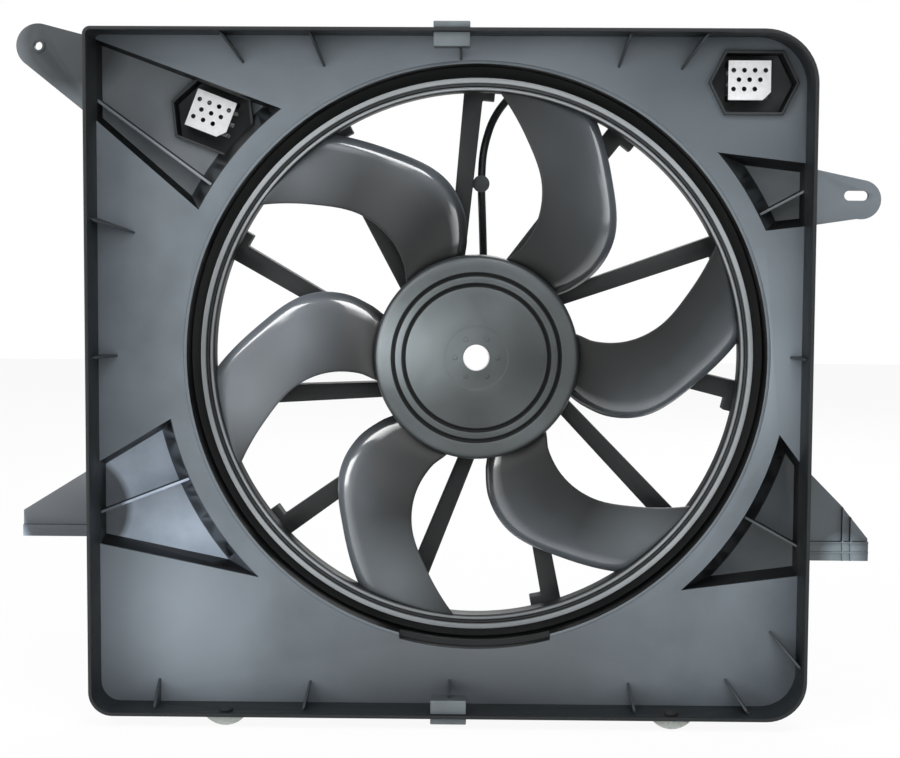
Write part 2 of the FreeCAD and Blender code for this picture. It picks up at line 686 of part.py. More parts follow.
def fan_blades():
    """Six swept blades, trimmed to the hub and to the band."""
    whole = Part.makeLoft([blade_section(*station) for station in BLADE], True, False)
    front, long = d.hub_front.value, d.band_rear.value - d.hub_front.value
    outside = Part.makeCylinder(d.band_inner.value, long, V(0, front, 0), V(0, 1, 0))
    inside = Part.makeCylinder(d.hub_radius.value, long + 2, V(0, front - 1, 0), V(0, 1, 0))
    one = whole.common(outside.cut(inside))
    blades = []
    for number in range(int(d.blade_count.value)):
        blade = one.copy()
        blade.rotate(V(0, 0, 0), V(0, -1, 0), 360 / d.blade_count.value * number)
        blades.append(blade)
    piece = doc.addObject("Part::Feature", "fan_blades")
    piece.Shape = Part.makeCompound([solid for blade in blades for solid in blade.Solids])
    return piece


def fan_hub():
    """The hub: a cup with two grooves, a dished middle and a boss that holds the steel insert."""
    front, rear, wall = d.hub_front, d.hub_rear, d.hub_wall
    half = d.groove_wide / 2
    outer_groove = d.hub_radius - d.groove_inset
    inner_groove = outer_groove - d.groove_step
    inner = d.hub_radius - wall
    edge = d.hub_edge
    profile = [(d.plug_radius, front + d.dish_deep), (d.dish_radius, front + d.dish_deep), (d.dish_radius + 1, front),
               (inner_groove - half, front), (inner_groove - half * 0.5, front + d.groove_deep),
               (inner_groove + half * 0.5, front + d.groove_deep), (inner_groove + half, front),
               (outer_groove - half, front), (outer_groove - half * 0.5, front + d.groove_deep),
               (outer_groove + half * 0.5, front + d.groove_deep), (outer_groove + half, front),
               (d.hub_radius - edge, front), (d.hub_radius - edge * 0.3, front + edge * 0.3),
               (d.hub_radius, front + edge), (d.hub_radius, rear), (inner, rear), (inner, front + edge),
               (d.hub_radius - edge, front + wall), (d.boss_radius, front + wall), (d.boss_radius, d.boss_rear),
               (d.insert_radius, d.boss_rear), (d.insert_radius, insert_front), (d.plug_radius, insert_front)]
    return turned("fan_hub", profile)


def fan_band():
    """The ring round the blades, with its lip flared towards the radiator."""
    inner, wall = d.band_inner, d.band_wall
    flare = d.band_lip - inner - wall
    front, rear = d.band_front, d.band_rear
    return turned("fan_band", [
        (inner, rear), (inner, front + flare * 0.9), (inner + flare * 0.12, front + flare * 0.45),
        (inner + flare * 0.42, front + flare * 0.12), (d.band_lip - wall, front), (d.band_lip, front),
        (d.band_lip, front + wall), (inner + wall + flare * 0.5, front + wall + flare * 0.12),
        (inner + wall + flare * 0.16, front + wall + flare * 0.45), (inner + wall, front + wall + flare * 0.9),
        (inner + wall, rear)])


def tunnel():
    """The tunnel round the band: outer wall, rear flange and the collar that carries the struts."""
    outer, wall = d.tunnel_bore + d.wall, d.wall
    collar = d.throat_bore + wall
    flange_rear = d.flange_front + wall
    ring = turned("tunnel_ring", [
        (d.tunnel_bore, d.plate_front), (outer, d.plate_front), (outer, flange_rear), (collar, flange_rear),
        (collar, d.collar_rear), (d.throat_bore, d.collar_rear), (d.throat_bore, d.flange_front),
        (d.tunnel_bore, d.flange_front)])
    notch_rear = d.plate_front + d.notch_deep
    tray = notch_room("notch_tray", d.notch_half + wall, d.notch_drop + wall, plate_rear, notch_rear + wall,
                      NOTCH_TOP)
    hollow = notch_room("notch_hollow", d.notch_half, d.notch_drop, d.plate_front - OVERRUN, notch_rear,
                        NOTCH_TOP + 1)
    space = rod("tunnel_space", d.tunnel_bore, d.plate_front - OVERRUN, d.flange_front)
    shell = cut("notch_shell", tray, hollow, space)
    return cut("tunnel", fuse("tunnel_body", ring, shell),
               common("notch_mouth", hollow, rod("notch_reach", outer + OVERRUN, d.plate_front - 1, notch_rear)))


# Motor and what turns in it

nut_front = d.shaft_front + 1
insert_front = nut_front + d.nut_thick
bearing_front = d.can_front - d.bearing_long + d.can_wall + 1
SHAFT_HOLE = 1.5


def hex_bar(name, flats, front, rear):
    """A hexagonal bar along the fan's axis."""
    corner = flats / math.sqrt(3)
    half, side = corner / 2, flats / 2
    return prism(name, [(corner, ZERO), (half, side), (-half, side), (-corner, ZERO), (-half, -side), (half, -side)],
                 front, rear)


def motor_can():
    """The drawn steel can, with a raised seat for the front bearing."""
    seat = d.bearing_radius + d.seat_gap
    wall, step = d.can_wall, bearing_front - d.can_wall
    hole = d.shaft_radius + SHAFT_HOLE
    return turned("motor_can", [
        (hole, step), (seat + wall, step), (seat + wall, d.can_front), (d.can_radius, d.can_front),
        (d.can_radius, d.can_rear), (d.can_radius - wall, d.can_rear), (d.can_radius - wall, d.can_front + wall),
        (seat, d.can_front + wall), (seat, bearing_front), (hole, bearing_front)])


def motor_end_cap():
    """The plate that closes the can, with a boss round the rear bush."""
    wall, seat = d.can_wall, d.bearing_radius - 1
    return turned("motor_end_cap", [
        (seat, d.can_rear), (d.can_radius, d.can_rear), (d.can_radius, d.can_rear + wall),
        (seat + wall, d.can_rear + wall), (seat + wall, d.cap_boss_rear), (ZERO, d.cap_boss_rear),
        (ZERO, d.cap_boss_rear - wall), (seat, d.cap_boss_rear - wall)])


def sleeve(name, outer, inner, front, rear):
    """A plain ring about the fan's axis."""
    return turned(name, [(inner, front), (outer, front), (outer, rear), (inner, rear)])


def motor_ring():
    """The ring that the struts hold, drilled for the motor's screws."""
    ring = sleeve("ring_blank", ring_outer, ring_inner, d.strut_front, d.ring_rear)
    return cut("motor_ring", ring, *screw_rods("ring_hole", d.screw_shank + d.seat_gap,
                                               d.ring_rear - SCREW_DEEP - 1, d.ring_rear + 1))


SCREW_COUNT = 3
SCREW_FIRST = 150
SCREW_DEEP = 12


def screw_rods(name, radius, front, rear):
    """One rod at each of the motor screws' places."""
    rods = []
    for number in range(SCREW_COUNT):
        angle = size(SCREW_FIRST + 360 // SCREW_COUNT * number)
        x, z = screw_circle * cos_of(angle), screw_circle * sin_of(angle)
        rods.append(rod("%s_%d" % (name, number), radius, front, rear, x, z))
    return rods


flange_rear = d.ring_rear + 2


def motor_flange():
    """The steel ring welded round the can, which the screws hold against the motor ring."""
    ring = sleeve("flange_blank", ring_outer, d.can_radius + d.seat_gap, d.ring_rear, flange_rear)
    return cut("motor_flange", ring, *screw_rods("flange_hole", d.screw_shank + d.loose_gap,
                                                 d.ring_rear - 1, flange_rear + 1))


def motor_screws():
    """Three screws with round heads."""
    shanks = screw_rods("shank", d.screw_shank, d.ring_rear - SCREW_DEEP, flange_rear + 1)
    heads = screw_rods("head", d.screw_shank * 1.9, flange_rear, flange_rear + 3.5)
    sockets = screw_rods("socket", d.screw_shank * 0.8, flange_rear + 1.5, flange_rear + 5)
    return group("motor_screws", [cut("screw_%d" % n, fuse("screw_bar_%d" % n, shank, head), socket)
                                  for n, (shank, head, socket) in enumerate(zip(shanks, heads, sockets))])


SLOT_HALF = 2.5
SLOT_DEEP = 16


def armature_core():
    """The stack of steel sheets, with its winding slots."""
    blank = sleeve("core_blank", d.core_radius, d.shaft_radius + d.seat_gap, d.core_front, d.core_rear)
    count = int(d.slot_count.value)
    tool = doc.addObject("Part::MultiFuse", "core_slots")
    tool.Shapes = [swing(block("core_slot_%d" % number, (d.core_radius - SLOT_DEEP, d.core_radius + 2),
                               (d.core_front - 1, d.core_rear + 1), (-SLOT_HALF, SLOT_HALF)), 360 / count * number)
                   for number in range(count)]
    return cut("armature_core", blank, tool)


def armature_winding():
    """The copper winding: a ring of wire at each end of the core and a bar in each slot."""
    gap = d.seat_gap
    outer, inner = d.core_radius - 2, d.shaft_radius + 8
    half = SLOT_HALF - 0.2
    count = int(d.slot_count.value)
    rings = [sleeve("winding_front", outer, inner, d.core_front - 8, d.core_front - gap),
             sleeve("winding_rear", outer, inner, d.core_rear + gap, d.core_rear + 5)]
    bars = [swing(block("winding_bar_%d" % number, (d.core_radius - SLOT_DEEP + 0.1, outer),
                        (d.core_front - 1, d.core_rear + 1), (-half, half)), 360 / count * number)
            for number in range(count)]
    return fuse("armature_winding", *(rings + bars))


magnet_front = d.can_front + d.can_wall + 1
magnet_outer = d.can_radius - d.can_wall - d.seat_gap
magnet_inner = d.core_radius + d.air_gap
MAGNET_GAP = 14


def field_magnets():
    """Two curved ferrite magnets inside the can."""
    rear = magnet_front + d.magnet_long
    shell = sleeve("magnet_shell", magnet_outer, magnet_inner, magnet_front, rear)
    gap = block("magnet_gap", (-d.can_radius, d.can_radius), (magnet_front - 1, rear + 1), (-MAGNET_GAP, MAGNET_GAP))
    return cut("field_magnets", shell, gap)


def magnet_springs():
    """Two sheet springs that press the magnets apart."""
    front, rear = magnet_front + 3, magnet_front + d.magnet_long - 3
    shell = sleeve("spring_shell", magnet_outer, magnet_outer - 1.2, front, rear)
    half = MAGNET_GAP - 0.05
    keep = block("spring_keep", (-d.can_radius, d.can_radius), (front - 1, rear + 1), (-half, half))
    return common("magnet_springs", shell, keep)


commutator_rear = d.commutator_front + d.commutator_long
brush_middle = d.commutator_front + d.commutator_long / 2
brush_start = d.commutator_radius + d.loose_gap
brush_end = brush_start + d.brush_long
spring_end = brush_end + d.spring_long + 0.2


def commutator():
    """The copper bars of the commutator, with the cuts between them."""
    blank = sleeve("commutator_blank", d.commutator_radius, d.shaft_radius + d.seat_gap,
                   d.commutator_front, commutator_rear)
    count = int(d.slot_count.value)
    tool = doc.addObject("Part::MultiFuse", "commutator_cuts")
    tool.Shapes = [swing(block("commutator_cut_%d" % number, (d.commutator_radius - 1.5, d.commutator_radius + 1),
                               (d.commutator_front - 1, commutator_rear + 1), (-0.4, 0.4)),
                         360 / count * (number + 0.5)) for number in range(count)]
    return cut("commutator", blank, tool)


HOLDER_WALL = 1.2
CARD_THICK = 2.0


def brush_card():
    """The round card that carries the brush holders."""
    rear = brush_middle - d.brush_wide / 2 - d.loose_gap - HOLDER_WALL
    return sleeve("brush_card", magnet_outer, d.commutator_radius + 4, rear - CARD_THICK, rear)


def brush_holders():
    """Two brass boxes, open towards the commutator and closed behind the springs."""
    boxes = []
    for high in (True, False):
        name = "upper" if high else "lower"
        half, deep, gap = d.brush_thick / 2, d.brush_wide / 2, d.loose_gap
        outer = block("holder_outer_" + name, (-half - gap - HOLDER_WALL, half + gap + HOLDER_WALL),
                      (brush_middle - deep - gap - HOLDER_WALL, brush_middle + deep + gap + HOLDER_WALL),
                      span(brush_start + 5, spring_end + HOLDER_WALL, high))
        inner = block("holder_inner_" + name, (-half - gap, half + gap),
                      (brush_middle - deep - gap, brush_middle + deep + gap), span(brush_start + 4, spring_end, high))
        boxes.append(cut("holder_" + name, outer, inner))
    return group("brush_holders", boxes)


def brush(high):
    """A carbon brush with its face hollowed to the commutator."""
    name = "upper" if high else "lower"
    half, deep = d.brush_thick / 2, d.brush_wide / 2
    bar = block("brush_bar_" + name, (-half, half), (brush_middle - deep, brush_middle + deep),
                span(d.commutator_radius - 1, brush_end, high))
    hollow = rod("brush_face_" + name, d.commutator_radius + d.loose_gap, d.commutator_front, commutator_rear)
    return cut("brush_" + name, bar, hollow)


def brush_spring(high):
    """A coil spring between the brush and the closed end of its holder."""
    name = "upper" if high else "lower"
    radius, wire = d.spring_radius.value, d.spring_wire.value
    rise = d.spring_long.value - 2 * wire
    turns = 6
    helix = Part.makeHelix(rise / turns, rise, radius - wire / 2)
    section = Part.Wire([Part.makeCircle(wire / 2, V(radius - wire / 2, 0, 0), V(0, 1, 0))])
    coil = Part.Wire(helix).makePipeShell([section], True, True)
    piece = doc.addObject("Part::Feature", "brush_spring_" + name)
    piece.Shape = coil
    start = brush_end + wire
    if high:
        return place(piece, ZERO, brush_middle, start)
    return place(piece, ZERO, brush_middle, -start, FreeCAD.Rotation(V(1, 0, 0), 180))


# Resistors

GUARD_PITCH = (8, 7)
GUARD_MIDDLE = (-3, 2)
GUARD_ROWS = [(1, (-1.5, -0.5, 0.5, 1.5)), (0, (-1, 0, 1)), (-1, (-1.5, -0.5, 0.5))]
GUARD_REAR = 5
FRAME_WALL = 2
POST_WIDE = 5
POST_TALL = 4
VENT_HALF = 1.5
VENT_STEP = 9
COIL_RADIUS = 4.5
COIL_WIRE = 0.8
COIL_LONG = 18
COIL_PITCH = 3
CORE_X, CORE_Y = -3, 14
CORE_HALF = 12
LUG_HALF = 5
TERMINALS = (-14, -2)
TAB_WIDE = 6.3
TAB_THICK = 0.8
TAB_LONG = 9


def resistor_frame(name):
    """The hexagonal plastic frame, with posts for the guard and lugs for the ceramic core."""
    deep = d.hex_deep
    floor = deep - FRAME_WALL
    cup = cut("frame_cup_" + name, hexagon("frame_outer_" + name, ZERO, ZERO, deep),
              hexagon("frame_inner_" + name, size(FRAME_WALL), -1, floor))
    vents = [block("vent_%s_%d" % (name, row), (-18, 14), (floor - 1, deep + 1),
                   (VENT_STEP * row - VENT_HALF, VENT_STEP * row + VENT_HALF)) for row in (-1, 0, 1)]
    left, right, low, high = guard_sides()
    posts = [block("post_%s_%d" % (name, k), (x, x + POST_WIDE), (GUARD_REAR, floor + 1), (z, z + POST_TALL))
             for k, (x, z) in enumerate(((left, low), (left, high - POST_TALL),
                                         (right - POST_WIDE, high - POST_TALL)))]
    lugs = [block("lug_%s_%d" % (name, k), (CORE_X - LUG_HALF, CORE_X + LUG_HALF), (CORE_Y - LUG_HALF, floor + 1), z)
            for k, z in enumerate(((CORE_HALF - 2, CORE_HALF + 1), (-CORE_HALF - 1, 2 - CORE_HALF)))]
    bore = pin("core_bore_" + name, COIL_RADIUS - COIL_WIRE, -CORE_HALF, CORE_HALF, CORE_X, CORE_Y)
    return cut("resistor_frame_" + name, fuse("frame_body_" + name, cup, *posts, *lugs), bore, *vents)


def guard_sides():
    """The left, right, lower and upper edge of a guard, about the frame's middle."""
    x, z = GUARD_MIDDLE
    return x - d.guard_wide / 2, x + d.guard_wide / 2, z - d.guard_tall / 2, z + d.guard_tall / 2


def resistor_guard(name):
    """The perforated sheet in front of the wire coil, with one corner clipped."""
    left, right, low, high = guard_sides()
    plate = block("guard_plate_" + name, (left, right), (GUARD_REAR - d.guard_thick, size(GUARD_REAR)), (low, high))
    corner = doc.addObject("Part::Box", "guard_corner_" + name)
    corner.Length, corner.Width, corner.Height = 20, 4, 20
    place(corner, right + 4, GUARD_REAR - 3, low + 10, FreeCAD.Rotation(V(0, 1, 0), 135))
    holes = []
    for row, columns in GUARD_ROWS:
        for number, column in enumerate(columns):
            x = GUARD_MIDDLE[0] + column * GUARD_PITCH[0]
            z = GUARD_MIDDLE[1] + row * GUARD_PITCH[1] + 0.5
            holes.append(rod("guard_hole_%s_%d_%d" % (name, row + 1, number), d.guard_hole,
                             GUARD_REAR - 3, GUARD_REAR + 2, size(x), size(z)))
    drill = doc.addObject("Part::MultiFuse", "guard_holes_" + name)
    drill.Shapes = holes
    return cut("resistor_guard_" + name, plate, corner, drill)


def resistor(name, x, y, z, angle):
    """A fan speed resistor: frame, perforated guard, ceramic core, wire coil and terminals."""
    core = pin("resistor_core_" + name, COIL_RADIUS - COIL_WIRE - d.seat_gap, -CORE_HALF + d.seat_gap,
               CORE_HALF - d.seat_gap, CORE_X, CORE_Y)
    section = Part.Wire([Part.makeCircle(COIL_WIRE, V(COIL_RADIUS, 0, 0), V(0, 1, 0))])
    coil = doc.addObject("Part::Feature", "resistor_coil_" + name)
    coil.Shape = Part.Wire(Part.makeHelix(COIL_PITCH, COIL_LONG, COIL_RADIUS)).makePipeShell([section], True, True)
    coil.Placement = FreeCAD.Placement(V(CORE_X, CORE_Y, -COIL_LONG / 2), FreeCAD.Rotation())
    foot = 3 - d.hex_rise
    terminals = group("resistor_terminals_" + name, [
        block("terminal_%s_%d" % (name, k), (left, left + TAB_WIDE), (d.hex_deep, d.hex_deep + TAB_LONG),
              (foot, foot + TAB_THICK)) for k, left in enumerate(TERMINALS)])
    pieces = [resistor_frame(name), resistor_guard(name), core, coil, terminals]
    spot = FreeCAD.Placement(V(x.value, y.value, z.value), about_axis(angle))
    for piece in pieces:
        there = spot.multiply(piece.Placement)
        for axis in "xyz":
            piece.setExpression("Placement.Base." + axis, None)
        piece.Placement = there
    return pieces


# Lead: from the grommet in the can, past the clip on the top strut, to the connector behind the plate.
LEAD = [
    (5, 99, 52), (5, 99, 74), (4, 92, 104), (2.8, 80, 132), (4, 82, 158), (12, 93, 185), (33, 96, 210),
    (60, 86, 226), (84, 72, 230), (104, 66, 230),
]


def round_path(points):
    """Straight runs joined by the largest tangent arcs that the runs leave room for."""
    points = [V(*p) for p in points]
    edges, radii = [], []
    start = points[0]
    for before, corner, after in zip(points, points[1:], points[2:]):
        back, ahead = before - corner, after - corner
        turn = math.pi - back.getAngle(ahead)
        trim = 0.45 * min(back.Length, ahead.Length)
        radii.append(trim / math.tan(turn / 2))
        back.normalize()
        ahead.normalize()
        first, last = corner + back * trim, corner + ahead * trim
        centre_way = (back + ahead).normalize()
        centre = corner + centre_way * (radii[-1] / math.cos(turn / 2))
        middle = centre - centre_way * radii[-1]
        edges.append(Part.LineSegment(start, first).toShape())
        edges.append(Part.Arc(first, middle, last).toShape())
        start = last
    edges.append(Part.LineSegment(start, points[-1]).toShape())
    return Part.Wire(edges), radii


def motor_lead():
    """The lead's tube along its route."""
    path, radii = round_path(LEAD)
    radius = d.lead_radius.value
    start = V(*LEAD[0])
    along = (V(*LEAD[1]) - start).normalize()
    section = Part.Wire([Part.makeCircle(radius, start, along)])
    piece = doc.addObject("Part::Feature", "motor_lead")
    piece.Shape = path.makePipeShell([section], True, True)
    ideal = math.pi * radius ** 2 * path.Length
    print("lead: length %.1f, radii %s, volume %.4f of section times length"
          % (path.Length, " ".join("%.0f" % r for r in radii), piece.Shape.Volume / ideal))
    return piece


def lead_space(name):
    """The lead's room, a seat gap larger all round."""
    path, _ = round_path(LEAD)
    along = (V(*LEAD[1]) - V(*LEAD[0])).normalize()
    ring = Part.makeCircle(d.lead_radius.value + d.seat_gap.value, V(*LEAD[0]), along)
    space = doc.addObject("Part::Feature", name)
    space.Shape = path.makePipeShell([Part.Wire([ring])], True, True)
    return space


def lead_clip():
    """The round clip on the top strut that holds the lead."""
    x, y, z = LEAD[3]
    disc = rod("clip_disc", 6.5, y - 5, y + 5, x, z)
    arm = block("clip_arm", (x - 12, x), (y - 4, y + 2), (z - 3, z + 3))
    room = strut_bar("clip_strut_room", 0, ring_outer * 0.8, d.throat_bore - OVERRUN, -d.seat_gap,
                     d.strut_front, d.ring_rear + 1)
    strut = swing(group("clip_strut_space", [room]), strut_angle(0))
    return cut("lead_clip", fuse("clip_body", disc, arm), strut, lead_space("clip_bore"))


def lead_grommet():
    """The rubber grommet where the lead leaves the motor can."""
    x, y, _ = LEAD[0]
    neck, flange = d.lead_radius + 2, d.lead_radius + 4
    seat = d.can_radius
    outer = fuse("grommet_body", pin("grommet_neck", neck, seat - 4, seat + 3, x, y),
                 pin("grommet_flange", flange, seat + 1, seat + 6, x, y))
    space = rod("grommet_space", seat + d.seat_gap, y - 15, y + 15)
    hole = pin("grommet_bore", d.lead_radius + d.seat_gap, seat - 8, seat + 12, x, y)
    return cut("lead_grommet", outer, space, hole)


CONNECTOR_LONG = 34
CONNECTOR_HALF = 11
CONNECTOR_WALL = 3
connector_x, connector_y, connector_z = LEAD[-1]


def lead_connector():
    """The connector's housing, on a bracket behind the plate, with its socket to the right."""
    x, y, z = connector_x, connector_y, connector_z - 1
    half, wall = CONNECTOR_HALF, CONNECTOR_WALL
    low, high = z - half + 1, z + half - 1
    housing = block("connector_block", (x, x + CONNECTOR_LONG), (y - half - 1, y + half - 1), (low, high))
    socket = block("connector_socket", (x + CONNECTOR_LONG - 18, x + CONNECTOR_LONG + 1),
                   (y - half - 1 + wall, y + half - 1 - wall), (low + wall, high - wall))
    return cut("lead_connector", housing, socket, lead_space("connector_bore"))


def connector_pins():
    """Two flat blades inside the connector's socket."""
    root, low = connector_x + CONNECTOR_LONG - 18, connector_z - 1.4
    return group("connector_pins", [
        block("blade_%d" % k, (root, root + 10), (y, y + TAB_WIDE), (low, low + TAB_THICK))
        for k, y in enumerate((connector_y - 8, connector_y))])


def connector_bracket():
    """The bracket that holds the connector on the plate's rear face."""
    return block("connector_bracket", (connector_x + 4, connector_x + 26),
                 (plate_rear, size(connector_y - CONNECTOR_HALF - 1)), (connector_z - 9, connector_z + 5))


# Rim clips and lower pads

def rim_clip(top):
    """A clip that snaps into a window of the rim: a block inside, a neck and a block outside."""
    name = "top" if top else "bottom"
    gap = d.loose_gap
    wall_in, wall_out = (top_in, d.rim_top) if top else (-bottom_in, d.rim_bottom)
    x = (-d.clip_left, clip_right)
    y = (clip_front, clip_front + d.clip_deep)
    parts = [block("clip_inside_" + name, x, y, span(wall_in - CLIP_INSIDE, wall_in - gap, top)),
             block("clip_neck_" + name, clip_neck_x, clip_neck_y, span(wall_in - gap - 1, wall_out + gap + 1, top)),
             block("clip_outside_" + name, x, y, span(wall_out + gap, wall_out + CLIP_OUTSIDE, top))]
    return fuse(name + "_clip", *parts)


def lower_pad(name, x):
    """A soft pad under the rim: a segment of a disc with a stem through the rim and a head inside."""
    middle = -d.rim_bottom - d.pad_reach + d.pad_radius
    disc = rod("pad_disc_" + name, d.pad_radius, pad_front, pad_front + d.pad_thick, x, middle)
    above = block("pad_above_" + name, (x - 40, x + 40), (pad_front - 1, pad_front + d.pad_thick + 1),
                  (-d.rim_bottom - d.loose_gap, middle + d.pad_radius + 1))
    stem = pin("pad_stem_" + name, pad_stem, -d.rim_bottom - 2, bottom_in + 2, x, pad_middle)
    head = pin("pad_head_" + name, pad_stem + 2, bottom_in + d.loose_gap, bottom_in + 2.5, x, pad_middle)
    return fuse("lower_pad_" + name, cut("pad_segment_" + name, disc, above), stem, head)


def hub_plug():
    """The white plug over the fan nut."""
    gap = d.seat_gap
    return sleeve_cap("hub_plug", d.plug_radius - gap, d.hub_front + 0.4, d.shaft_front - 1)


def sleeve_cap(name, radius, front, rear):
    """A plain round cap about the fan's axis."""
    return turned(name, [(ZERO, front), (radius - 1, front), (radius, front + 0.8), (radius, rear), (ZERO, rear)])


def fan_nut():
    """The hexagonal nut that holds the fan on its shaft."""
    bar = hex_bar("nut_bar", d.nut_flats, nut_front, insert_front)
    return cut("fan_nut", bar, rod("nut_bore", d.shaft_radius + d.run_gap, nut_front - 1, insert_front + 1))


EAR_WALL = 3
EAR_RIB = 1.2
EAR_RIBS = (20.5, 14.2)
EAR_LINES = (6, 13.8)


def build():
    """Every sub-part of the fan."""
    arm_rear = d.floor_front + d.wall
    arm_front = arm_rear - d.arm_thick
    hole_x, hole_z, end = -d.upper_hole_x, d.upper_hole_z, d.upper_arm_end
    upper_arm = prism("arm_plate_upper_left", [
        (-d.rim_left + 0.5, top_in - 1), (hole_x + 4.5, hole_z + end * 0.964),
        (hole_x - end * 0.63, hole_z - end * 0.777), (-d.rim_left + 0.5, d.upper_left_low)], arm_front, arm_rear)
    upper_end = rod("arm_end_upper_left", end, arm_front, arm_rear, hole_x, hole_z)
    collar = rod("arm_collar_upper_left", d.upper_hole + 2, arm_front - 1, arm_rear, hole_x, hole_z)
    bore = rod("arm_bore_upper_left", d.upper_hole, arm_front - 3, arm_rear + 3, hole_x, hole_z)
    slot_half = d.tab_slot_long / 2 - d.tab_slot_half
    tab_x, tab_z = d.tab_slot_x + 4, d.tab_slot_z - 3
    tab = prism("arm_plate_upper_right", [
        (d.rim_right - 0.5, d.upper_right_high - 4), (tab_x + 3.6, tab_z + d.tab_end * 0.97),
        (tab_x - 3, tab_z - d.tab_end * 0.98), (d.rim_right - 0.5, d.upper_right_low + 2)], arm_front, arm_rear)
    tab_end = rod("arm_end_upper_right", d.tab_end, arm_front, arm_rear, tab_x, tab_z)
    slot = [block("slot_middle", (d.tab_slot_x - slot_half, d.tab_slot_x + slot_half), (arm_front - 3, arm_rear + 3),
                  (d.tab_slot_z - d.tab_slot_half, d.tab_slot_z + d.tab_slot_half))]
    slot += [rod("slot_end_%d" % k, d.tab_slot_half, arm_front - 3, arm_rear + 3, d.tab_slot_x + slot_half * way,
                 d.tab_slot_z) for k, way in enumerate((-1, 1))]
    left_foot, right_foot = -d.ear_left_foot, -d.ear_right_foot
    ear_span = (d.ear_front, d.ear_front + d.ear_deep)
    ear_left = prism("ear_plate_left", [
        (-d.rim_left + 0.5, d.lower_left_high - 4), (-d.ear_left, left_foot + 20), (-d.ear_left, left_foot),
        (-d.rim_left + 0.5, left_foot)], arm_front, arm_rear)
    left_base = block("ear_base_left", (-d.ear_left, -d.rim_left + 0.5), ear_span, (left_foot, left_foot + 9))
    left_hollow = block("ear_hollow_left", (EAR_WALL - d.ear_left, -d.rim_left - EAR_WALL),
                        (arm_rear, ear_span[1] + 1), (left_foot + EAR_WALL, left_foot + 10))
    right_outline = [(d.rim_right - 0.5, d.lower_right_high - 2), (d.rim_right - 0.5, right_foot),
                     (d.ear_right, right_foot), (d.ear_right, right_foot + 17), (d.ear_right - 21, right_foot + 43)]
    ear_right = prism("ear_plate_right", right_outline, arm_front, arm_rear)
    right_base = block("ear_base_right", (d.rim_right - 0.5, d.ear_right), ear_span, (right_foot, right_foot + 15))
    right_hollow = block("ear_hollow_right", (d.rim_right + EAR_WALL, d.ear_right - EAR_WALL),
                         (arm_rear, ear_span[1] + 1), (right_foot + EAR_WALL, right_foot + 15 - EAR_WALL))
    bars = [block("ear_rib_bar_%d" % k, (d.ear_right - reach, d.ear_right - reach + EAR_RIB),
                  (d.ear_front - 1, arm_front), (right_foot, right_foot + 54)) for k, reach in enumerate(EAR_RIBS)]
    bars += [block("ear_rib_line_%d" % k, (d.rim_right - 0.5, d.ear_right), (d.ear_front - 1, arm_front),
                   (right_foot + rise, right_foot + rise + EAR_RIB)) for k, rise in enumerate(EAR_LINES)]
    right_ribs = common("ear_ribs_right", prism("ear_rib_shape", right_outline, d.ear_front - 1, arm_front),
                        fuse("ear_rib_bars", *bars))

    pieces = [shroud_rim(), shroud_plate(), wall_gussets()]
    seat = hexagon("channel_seat", -d.seat_gap, d.floor_front - 8, arm_rear + OVERRUN)
    place(seat, -d.left_resistor_x, d.floor_front - 8, d.left_resistor_z, about_axis(-d.left_resistor_turn.value))
    pieces.append(mount_channel("upper_left", [upper_arm, upper_end, collar], [bore, seat]))
    pieces.append(mount_channel("upper_right", [tab, tab_end], slot))
    pieces.append(mount_channel("lower_left", [ear_left, left_base], [left_hollow]))
    pieces.append(mount_channel("lower_right", [ear_right, right_base, right_ribs], [right_hollow]))
    pieces += [tunnel(), struts(), motor_ring()]
    pieces += [fan_hub(), fan_blades(), fan_band(), hub_plug(), fan_nut()]
    pieces.append(sleeve("hub_insert", d.insert_radius - d.seat_gap, d.shaft_radius + d.run_gap,
                         insert_front, d.boss_rear))
    pieces += [motor_can(), motor_end_cap(), motor_flange(), motor_screws()]
    pieces.append(sleeve("front_bearing", d.bearing_radius, d.shaft_radius + d.run_gap, bearing_front,
                         bearing_front + d.bearing_long))
    pieces.append(sleeve("rear_bush", d.bearing_radius - 1 - d.seat_gap, d.shaft_radius + d.run_gap,
                         d.can_rear + 1, d.cap_boss_rear - d.can_wall - d.seat_gap))
    pieces.append(rod("motor_shaft", d.shaft_radius, d.shaft_front, d.shaft_rear))
    pieces += [armature_core(), armature_winding(), field_magnets(), magnet_springs(), commutator()]
    pieces += [brush_card(), brush_holders(), brush(True), brush(False), brush_spring(True), brush_spring(False)]
    left_x, left_z = -d.left_resistor_x, d.left_resistor_z
    pieces += resistor("left", left_x, d.floor_front - 5, left_z, -d.left_resistor_turn.value)
    pieces += resistor("right", d.right_resistor_x, d.plate_front - 3, d.right_resistor_z, 0)
    pieces += [motor_lead(), lead_clip(), lead_grommet(), lead_connector(), connector_pins(), connector_bracket()]
    pieces += [rim_clip(True), rim_clip(False)]
    pieces += [lower_pad("left", -d.pad_left_x), lower_pad("right", d.pad_right_x)]
    return pieces


def check_and_write(pieces):
    """Refuse a failed object or a bad shape, then write one file for each sub-part."""
    doc.recompute()
    faulty = [o.Name for o in doc.Objects if set(o.State) & {"Invalid", "Error"}]
    if faulty:
        raise RuntimeError("failed objects: %s" % ", ".join(faulty))
    for piece in pieces:
        if piece.Shape.isNull() or not piece.Shape.isValid():
            raise RuntimeError("bad shape: %s" % piece.Name)
    for piece in pieces:
        piece.Label = piece.Name
        piece.Shape.exportStep(os.path.join("parts", piece.Label + ".step"))
        print("%-28s %2d solid(s) %10.0f mm3" % (piece.Label, len(piece.Shape.Solids), piece.Shape.Volume))


check_and_write(build())
